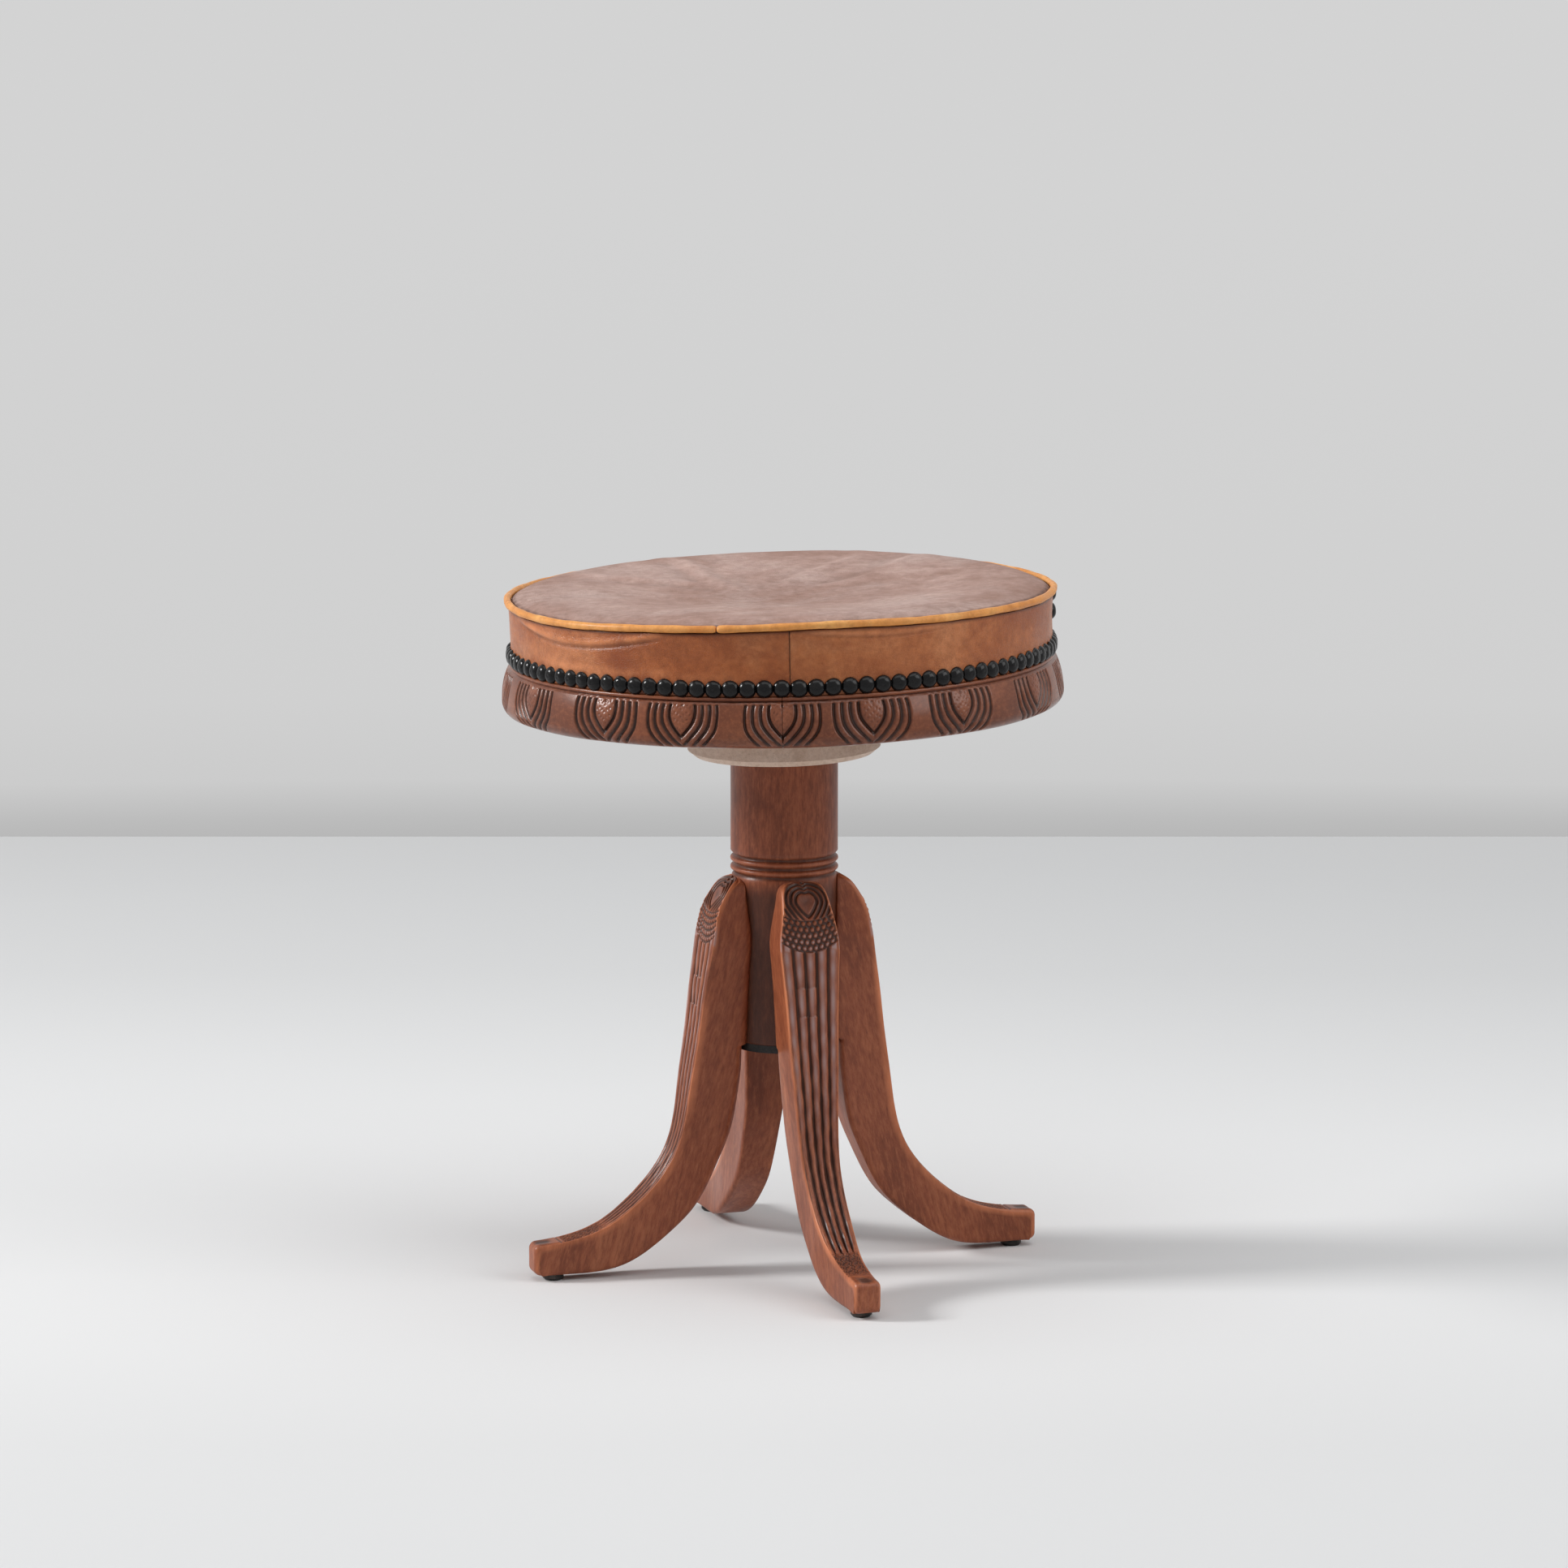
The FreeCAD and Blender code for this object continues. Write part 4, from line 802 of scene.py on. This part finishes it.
def make_column():
    """The turned column, with the leaning socket for the nut and the bore for the screw."""
    upright = column_section()
    socket_radius, socket_floor, bore_radius, bore_floor = 31.05, COLUMN_TOP - 5.2, 20, 190
    section = np.array(upright + [
        (socket_radius, COLUMN_TOP), (socket_radius, socket_floor), (bore_radius, socket_floor),
        (bore_radius, bore_floor), (0.5, bore_floor)])
    turn = circle(192)
    grid = around(section[:, :1], turn, section[:, 1:])
    grid[len(upright):] = leaned(grid[len(upright):])
    out = np.hypot(grid[..., 0], grid[..., 1])
    level = grid[..., 2]
    in_grooves = (level > GROOVE_LEVELS[0] - 2) & (level < GROOVE_LEVELS[-1] + 2)
    # Painted shade in the grooves between the beads, and over the column below the beads, where the seat
    # and legs shade it.
    shade_and_grime = np.clip((COLUMN_RADIUS - 0.6 - out) / 1.6, 0, 0.85) * in_grooves
    shade_and_grime = np.maximum(shade_and_grime, 0.74 * fade(level, GROOVE_LEVELS[0] - 15, GROOVE_LEVELS[0] + 1) * (out > 30))
    # The beads' crests are lighter: a painted highlight.
    worn = 0.3 * ease(out, COLUMN_RADIUS - 0.2, COLUMN_RADIUS + 0.2)
    worn = worn * (level > GROOVE_LEVELS[0]) * (level < GROOVE_LEVELS[-1] + 1)
    mesh = skin("column_turned", grid, caps=False, carve=shade_and_grime, worn=worn, grain=grid * MILLIMETRE)
    piece("column_turned", mesh, column_wood, "base", ("column",))


# Rim.
def rim_section():
    """Half section of the seat board: the underside, the carved stretch and what is over it."""
    widest = (193, RIM_BOTTOM + 9)
    carved = np.concatenate([
        three_point_arc((186, RIM_BOTTOM), (190.95, RIM_BOTTOM + 2.636), widest, 24),
        three_point_arc(widest, (191.875, RIM_BOTTOM + 19.6), (188.5, RIM_BOTTOM + 30.2), 44)[1:]])
    under = [(radius, RIM_BOTTOM) for radius in (1, 40, 80, 110, 140, 165, 180, 184.6)]
    under.append((185.6, RIM_BOTTOM + 0.15))
    ledge = BOARD_RADIUS + 1.85
    bead = three_point_arc((ledge, RIM_TOP + 0.8), (187.3, RIM_TOP + 1.6), (ledge, RIM_TOP + 3.2), 10)
    over = [(ledge, RIM_TOP), *bead.tolist(), (BOARD_RADIUS, RIM_TOP + 3.2),
            (BOARD_RADIUS, BOARD_TOP), (120, BOARD_TOP), (1, BOARD_TOP)]
    return np.array(under), carved, np.array(over)


def bud_angles():
    """Angle of every carved bud round the rim, in radians from +X."""
    further = [SEEN_BUDS[-1] + BUD_PITCH * (step + 1) for step in range(FURTHER_BUDS)]
    return [radians(angle - 90) for angle in list(SEEN_BUDS) + further]


def rim_carving(turn, level, radius):
    """Depth of the rim's carving: buds between nested, bowed reeds."""
    depth = np.zeros(np.broadcast(turn, level).shape)
    down = RIM_TOP - level
    bow = 0.013 * np.clip(9 - down, 0, 9) ** 2
    reach = 33
    for step, middle in enumerate(bud_angles()):
        across = wrapped(turn - middle, FULL_TURN) * radius
        near = np.abs(across) < reach
        pitch = RING_PITCHES[step % len(RING_PITCHES)]
        lean = 0.03 * np.sin(1.7 * step + 0.6)
        side = np.abs(np.where(near, across + lean * (12 - down), reach))
        beside = side - 9.4 + bow
        below = 0.745 * side + 0.667 * (down - 23.2)
        ring = np.logaddexp(beside / 1.9, below / 1.9) * 1.9 / pitch
        inside = ring < 0
        reed = unit(1 - np.abs(wrapped(ring)) * 2) ** 2.1
        cuts = np.where(inside, groove(ring * pitch, 2.6), reed) * fade(ring, 3.06, 3.3)
        crown = 0.7 * (1 - unit(-ring * pitch / 7)) ** 2
        pits = np.sin(across * 1.5 + step) * np.sin(down * 1.35 + 1.3 * np.sin(across * 0.7 + step))
        notch = 0.8 * groove(across, 3.4) * fade(down, 2, 4.2)
        nick = 0.3 * ease(pits, 0.25, 0.8) * ease(-ring * pitch, 1.5, 3) + notch
        bud = np.where(inside, crown + nick - 0.25, 0)
        depth += np.where(near, RIM_DEPTH * cuts + bud, 0)
    return depth * window(level, RIM_BOTTOM + 0.65, RIM_BOTTOM + 2.05, RIM_TOP - 1.75, RIM_TOP - 0.95)


def make_board(name, side):
    """Half of the seat board with the carved rim: side is 1 for the right half and -1 for the left."""
    under, carved, over = rim_section()
    start = -0.25 * FULL_TURN * side
    turn = (start + np.linspace(0, pi, 1101))[None, :]
    outward = normals(carved)
    rim_radius = 190
    cut = rim_carving(turn, carved[:, 1:], rim_radius)
    depth = cut + 0.3 * ripple(turn * 9, carved[:, 1:] * 0.12, 5)
    grid = np.concatenate([
        around(under[:, :1], turn, under[:, 1:]),
        around(carved[:, :1] - outward[:, :1] * depth, turn, carved[:, 1:] - outward[:, 1:] * depth),
        around(over[:, :1], turn, over[:, 1:])])
    seam = sum(0.5 * swell(np.abs(turn - end) * rim_radius, 0.5) for end in (start, start + pi))
    length = np.hypot(grid[..., 0], grid[..., 1])
    shrink = 1 - seam / np.maximum(length, 1) * (length > 150)
    grid[..., :2] *= shrink[..., None]
    grid[..., 0] += 0.05 * side * (np.abs(grid[..., 0]) < 1)
    first, end = len(under), len(under) + len(carved)
    crests = ease(-cut, -0.35, 0.3) * ease(carved[:, 1:], RIM_BOTTOM + 3.25, RIM_BOTTOM + 11.25)
    # Painted shade in the carving's cuts, and a dark joint where the halves meet.
    shade_and_grime = field(grid, slice(first, end), unit(cut / 1.25)) + seam
    # The crests are lighter with wear and a painted highlight, and they get a painted sheen.
    worn = field(grid, slice(first, end), 0.3 * crests)
    # The small bead over the carving is lighter: a painted highlight.
    worn[end + 3:end + 9] = 0.35
    bloom = field(grid, slice(first, end), 0.05 * crests)
    apart = (150 * (1 + side), 0, 0)
    grain = (grid[..., [0, 2, 1]] + apart) * MILLIMETRE
    mesh = skin(name + "_carved", leaned(grid).transpose(1, 0, 2), carve=shade_and_grime.T, worn=worn.T,
                bloom=bloom.T, grain=grain.transpose(1, 0, 2))
    piece(name + "_carved", mesh, rim_wood, "seat", (name,))


# Upholstery.
def edge_dip(turn):
    """How far the piping is pulled below the crown at the back."""
    return 1.6 * ease(np.sin(turn), -0.08, 0.25)


def edge_wave(turn):
    """How far the sewn top edge rises or falls round the seat; it stays over the hoop."""
    front = turn + 0.25 * FULL_TURN
    wave = (-2.8 + 1.6 * np.sin(front) + 1.6 * np.cos(front) + 2 * np.cos(2 * front)
            + 0.35 * np.sin(5 * front + 1) + 0.25 * np.sin(9 * front)
            + 4.9 * swell(wrapped(front + 1.745, FULL_TURN), 0.42))
    lowest = edge_dip(turn) - 4.15
    return lowest + 0.5 * np.logaddexp(0, (wave - lowest) / 0.5)


def make_cushion():
    """The padded seat: leather top with its worn dish and pulls, over a closed pad."""
    curve = smooth_line([(out, PIPING_LEVEL + up) for out, up in TOP_OUTLINE], 14)
    turn = circle(720)
    radius = curve[:, :1]
    inwards = PAD_RADIUS - radius
    roll = 1.3 * (1 - np.exp(-inwards / 1.2)) * np.exp(-inwards / 30)
    level = curve[:, 1:] + roll + edge_wave(turn) * (radius / PAD_RADIUS) ** 2
    level = level - edge_dip(turn) * ease(radius, 171, PAD_RADIUS)
    pulls = (0.16 * np.sin(9 * turn + 0.6) + 0.1 * np.sin(14 * turn + 2)
             + 0.1 * np.sin(23 * turn + 4.1)) * ease(radius, 50, 130)
    for angle, girth, height in FOLDS:
        offset = wrapped(turn - radians(angle), FULL_TURN)
        aside = offset * radius + 9 * np.sin(radius * 0.035 + angle)
        fold = swell(aside, girth) - 0.7 * swell(aside - 1.6 * girth, girth)
        pulls = pulls + height * fold * (np.abs(offset) < 1.2) * ease(radius, 14, 60)
    pulls = pulls * ease(radius, 8, 70) * (1 - 0.85 * ease(radius, 140, 178))
    lumps = ripple(radius * np.cos(turn) * 0.035, radius * np.sin(turn) * 0.035, 2)
    level = level + pulls + 0.9 * lumps * fade(radius, 150, 182)
    crease = swell(radius - 150 - 6 * np.sin(3 * turn), 9)
    level = level - 0.5 * crease * (0.5 + 0.5 * np.sin(5 * turn + 1))
    edge = level[:1]
    in_hoop, ledge = 174.2, HOOP_TOP + 0.15
    below = [(PAD_RADIUS - 0.05, edge - 1), (PAD_RADIUS - 0.4, np.maximum(edge - 3.2, ledge)),
             (in_hoop, ledge), (in_hoop, PAD_BOTTOM), (90, PAD_BOTTOM), (0.01, PAD_BOTTOM)]
    grid = np.concatenate([around(radius, turn, level)[::-1]]
                          + [around(out, turn, height) for out, height in below])
    on_top = slice(len(curve))
    stitched = swell(inwards - 1, 1.6) * (0.8 + 0.2 * np.sin(turn * 83))
    # Painted shade in the valleys between the folds.
    valley_shade = 0.5 * unit(-0.5 * pulls)
    # Lighter on the folds' ridges as a painted highlight, and over the dish where the leather wears.
    worn = 0.14 * unit(pulls) + 0.3 * swell(radius - 120, 55)
    mesh = skin("seat_cushion", leaned(grid), worn=field(grid, on_top, worn[::-1]),
                carve=field(grid, on_top, np.maximum(valley_shade, stitched)[::-1]))
    item = piece("seat_cushion", mesh, top_leather, "seat",
                 ("leather_top", "stuffing_pad"))


def make_band(name, first, last, hide):
    """A length of the leather band with its swags, lumps and the pull of the nails."""
    columns = int(abs(last - first) * 5)
    turn = np.radians(np.linspace(first + 0.06, last - 0.06, columns))[None, :]
    front = wrapped(np.degrees(turn) + 90, 360)
    high = PIPING_LEVEL + edge_wave(turn) - edge_dip(turn) - PIPING_RADIUS - 0.3
    share = np.linspace(0, 1, 46)[:, None]
    level = BAND_LOW + share * (high - BAND_LOW)
    over_nails = level - NAIL_LEVEL
    fraction = (level - BAND_LOW) / (BAND_HIGH - BAND_LOW)
    inner_radius = BOARD_RADIUS + 0.45 + fraction * 1.15 - 2 * fraction * (1 - fraction)
    lumps = 0.45 * ripple(turn * 11, level * 0.11, 4) * np.sin(pi * share)
    swag = high - 3 - 9 * np.sin(pi * unit((front + 74) / 52))
    in_swag = window(front, -74, -66, -30, -22)
    small = high - 2.5 - 4 * np.sin(pi * unit((front - 3) / 36))
    in_small = window(front, 3, 9, 32, 39)
    crease = in_swag * swell(level - swag, 1.5) + 0.6 * in_small * swell(level - small, 1.3)
    fold = in_swag * swell(level - swag - 3.4, 2.4) + 0.5 * in_small * swell(level - small - 2.6, 2)
    pull = 0.16 * np.cos(turn * NAIL_COUNT) * fade(over_nails, 3.55, 11.55)
    radius = inner_radius + BAND_THICKNESS + lumps - 1.1 * crease + 0.9 * fold + pull
    radius = np.minimum(radius, BOARD_RADIUS + 3.3 + 0.9 * share)
    grid = np.concatenate([around(radius, turn, level),
                           around(inner_radius[::-5], turn, level[::-5])])
    # Painted shade under the piping, in the swags' creases and along the band's foot round the nails; the
    # seams are dark joints.
    shade_under_piping = swell(high - level, 1.6)
    seams = swell(front - (FRONT_SEAM + 90), 0.22)
    low_edge = 0.6 * fade(over_nails, -4.45, 8.55)
    shade_and_grime = unit(0.5 * crease + shade_under_piping + low_edge + 0.6 * seams)
    # Painted highlights: lighter patches above the nails at the front left, and over the swags' folds and
    # lumps.
    sheen = swell(over_nails - 8.05, 3.4) * window(front, -64, -52, -26, -12)
    sheen = sheen * (0.6 + 0.5 * ripple(turn * 26, level * 0.3, 7))
    worn = unit(0.6 * fold + 0.35 * lumps + 0.8 * sheen)
    outside = slice(len(share))
    mesh = skin(name + "_hide", leaned(grid).transpose(1, 0, 2), carve=field(grid, outside, shade_and_grime).T,
                worn=field(grid, outside, worn).T)
    item = piece(name + "_hide", mesh, hide, "seat", (name,))


def make_piping():
    """The piped cord round the top edge: it follows the edge's wave and its ends meet in a notch."""
    start, gap = -103, 0.16
    turn = np.radians(np.linspace(start + gap, start + 360 - gap, 900))[:, None]
    from_end = np.minimum(turn - turn[0], turn[-1] - turn) * PIPING_CENTRE
    round_cord = circle(24)
    girth = PIPING_RADIUS * (0.93 + 0.05 * np.sin(turn * 31) + 0.02 * np.sin(turn * 67))
    girth = girth * (0.72 + 0.28 * ease(from_end, -0.2, 1.6))
    radius = PIPING_CENTRE + 0.25 * np.sin(turn * 7) + girth * np.cos(round_cord)
    level = PIPING_LEVEL + edge_wave(turn) - edge_dip(turn) + girth * np.sin(round_cord)
    mesh = skin("piping_cord", leaned(around(radius, turn, level)))
    item = piece("piping_cord", mesh, piping_hide, "seat", ("piping",))


def nail_section():
    """Half section of a domed nail: the flat underneath, the brim and the dome."""
    dome = three_point_arc((6, 0.3), (4.7, 2.1), (0.05, 3.2), 9)
    return np.concatenate([[(0.05, -0.3), (5.6, -0.3), (6.1, 0)], dome])


def make_nails(name, places, replaced, seed):
    """Domed nails pointing out of the band, each set by hand: a little tilted and uneven."""
    chance = np.random.default_rng(seed)
    wide, tall = nail_section().T[..., None, None]
    angle = circle(20)[..., None]
    rise = np.array((0, 0, 1))
    points = []
    for turn, level, reach in places:
        out = np.array((cos(turn), sin(turn), 0))
        side = np.array((-sin(turn), cos(turn), 0))
        tip = out + side * chance.normal(0, 0.05) + rise * chance.normal(0, 0.05)
        tip /= np.linalg.norm(tip)
        up = rise - tip * tip[2]
        up /= np.linalg.norm(up)
        side = np.cross(up, tip)
        girth = wide * (1 + chance.normal(0, 0.012))
        spot = out * reach + rise * (level + chance.normal(0, 0.18))
        points.append(spot + tip * tall + (side * np.cos(angle) + up * np.sin(angle)) * girth)
    rows, columns = len(wide), angle.shape[1]
    faces = [[corner + rows * columns * step for corner in face]
             for step in range(len(points)) for face in grid_faces(rows, columns)]
    mesh = smooth_mesh(name, leaned(np.array(points)), faces)
    piece(name, mesh, nail_black, "seat", replaced)


for leg_number in range(len(LEG_NAMES)):
    make_leg(leg_number)
make_column()
make_board("board_right", 1)
make_board("board_left", -1)
make_cushion()
make_band("band_quarter", FRONT_SEAM, REAR_SEAM, quarter_hide)
make_band("band_long", REAR_SEAM, FRONT_SEAM + 360, band_hide)
make_piping()
nail_turns = np.radians(FRONT_SEAM + (np.arange(NAIL_COUNT) + 0.5) * 360 / NAIL_COUNT)
make_nails("band_nail_row", [(turn, NAIL_LEVEL, BOARD_RADIUS + 2.35) for turn in nail_turns],
           ("band_nails",), 11)
make_nails("seam_nail_pair",
           [(radians(REAR_SEAM), seam_nails_low + NAIL_RADIUS, BOARD_RADIUS + 2.4),
            (radians(REAR_SEAM), seam_nails_high - NAIL_RADIUS, BOARD_RADIUS + 2.7)],
           ("seam_nails",), 12)

# Finishes of the solids that stay as they are.
for finish, node_names in (
        (plate_iron, ("column_plate", "screw_flange")),
        (screw_steel, ("plate_screws", "nut_screws", "flange_screws", "boss_screws")),
        (thread_iron, ("screw_nut", "stop_collar", "screw_rod")),
        (dowel_wood, ("leg_dowels", "board_dowels")),
        (pale_wood, ("boss_left", "boss_right")),
        (hoop_wood, ("edge_hoop",)),
        (glide_steel, ("glide_front", "glide_right", "glide_back", "glide_left"))):
    for node_name in node_names:
        slots = frame["nodes"][node_name].data.materials
        for index in range(len(slots)):
            slots[index] = finish
        if not slots:
            slots.append(finish)


# Studio, in metres.
def floor_paint(deep, across):
    """Matt floor paint whose grey is raised or lowered along depth and across to set how bright the lamps
    leave each part, with a slight drift from place to place; far off it fades into the backdrop.
    """
    paint = Finish("floor_paint", 0.9, gloss=0.1)
    place = paint.place()
    split = paint.add("SeparateXYZ", Vector=place).outputs
    cloud = paint.noise(place, scale=1.1, detail=2)
    tint = paint.blend(paint.spread(cloud, 0.3, 0.8, 0, 0.03), paint.greys(split["Y"], deep),
                       (0.5, 0.5, 0.5))
    paint.set(Base_Color=paint.blend(1, tint, paint.greys(split["X"], across), "MULTIPLY"))
    far = paint.add("VectorMath", Vector=place, operation="LENGTH").outputs["Value"]
    faded = paint.maths("MULTIPLY", paint.spread(far, 1.5, 2.5), paint.seen_rays())
    pale = paint.add("Emission", Color=(0.62, 0.62, 0.62))
    paint.surface(faded, paint.shader, pale, "Material Output")
    return paint.material


def make_floor():
    """A plain floor that ends where the photo's floor does."""
    back, reach = 1.69, 9
    greys_deep = ((-2, 0.78), (-0.5, 0.79), (-0.05, 0.86), (0.4, 0.87), (1.04, 0.81), (back, 0.84))
    greys_across = ((-0.8, 0.93), (0, 0.99), (0.8, 1))
    mesh = bpy.data.meshes.new("studio_floor")
    mesh.from_pydata([(-reach, -reach, 0), (reach, -reach, 0), (reach, back, 0), (-reach, back, 0)],
                     [], [(0, 1, 2, 3)])
    mesh.materials.append(floor_paint(greys_deep, greys_across))
    put("studio_floor", mesh)


def soft_light(name, place, target, size, power):
    """A soft lamp aimed at a point."""
    lamp = bpy.data.lights.new(name, "AREA")
    lamp.shape = "RECTANGLE"
    lamp.size, lamp.size_y = size
    lamp.energy = power
    item = put(name, lamp)
    item.location = place
    way = Vector(target) - Vector(place)
    item.rotation_euler = way.to_track_quat("-Z", "Y").to_euler()


def make_world():
    """A weak even light, and a pale backdrop that is seen but lights nothing."""
    world = bpy.data.worlds.new("studio_world")
    scene.world = world
    world.use_nodes = True
    sky = Nodes(world.node_tree)
    weak = sky.tree.nodes["Background"]
    weak.inputs["Color"].default_value = (0.9, 0.95, 1, 1)
    weak.inputs["Strength"].default_value = 0.15
    direction = sky.add("TexCoord").outputs["Generated"]
    height = sky.add("SeparateXYZ", Vector=direction).outputs["Z"]
    # The backdrop is darker just above the floor line: painted shade at the foot of the wall.
    backdrop = sky.greys(height, ((-0.1749, 0.47), (-0.1721, 0.505), (-0.1671, 0.6),
                                  (-0.1564, 0.632), (-0.088, 0.652)))
    shown = sky.add("Background", Color=backdrop)
    sky.surface(sky.seen_rays(), weak, shown, "World Output")


def make_camera():
    """The photo's camera: where it stood, how far it looks down, and its focal length in pixels."""
    photo_width, focal_pixels, sensor_width = 1932, 9128.4, 36
    data = bpy.data.cameras.new("camera")
    data.sensor_width = sensor_width
    data.lens = sensor_width * focal_pixels / photo_width
    data.clip_end = 60
    camera = put("camera", data)
    camera.location = (-0.00015, -5.028, 1.1935)
    camera.rotation_euler = (radians(90 - 9.667), 0, 0)
    bpy.context.scene.camera = camera


make_floor()
soft_light("key_lamp", (-3.6, -0.17, 2.15), (0, 0, 0.22), (0.8, 1), 119)
soft_light("fill_lamp", (3.6, -1.35, 2.5), (0, 0, 0.25), (3, 2.6), 66)
soft_light("top_lamp", (0.2, -0.5, 3.3), (0.1, 0.1, 0), (3.6, 3), 52.5)
make_world()
make_camera()
scene.view_settings.view_transform = "Standard"
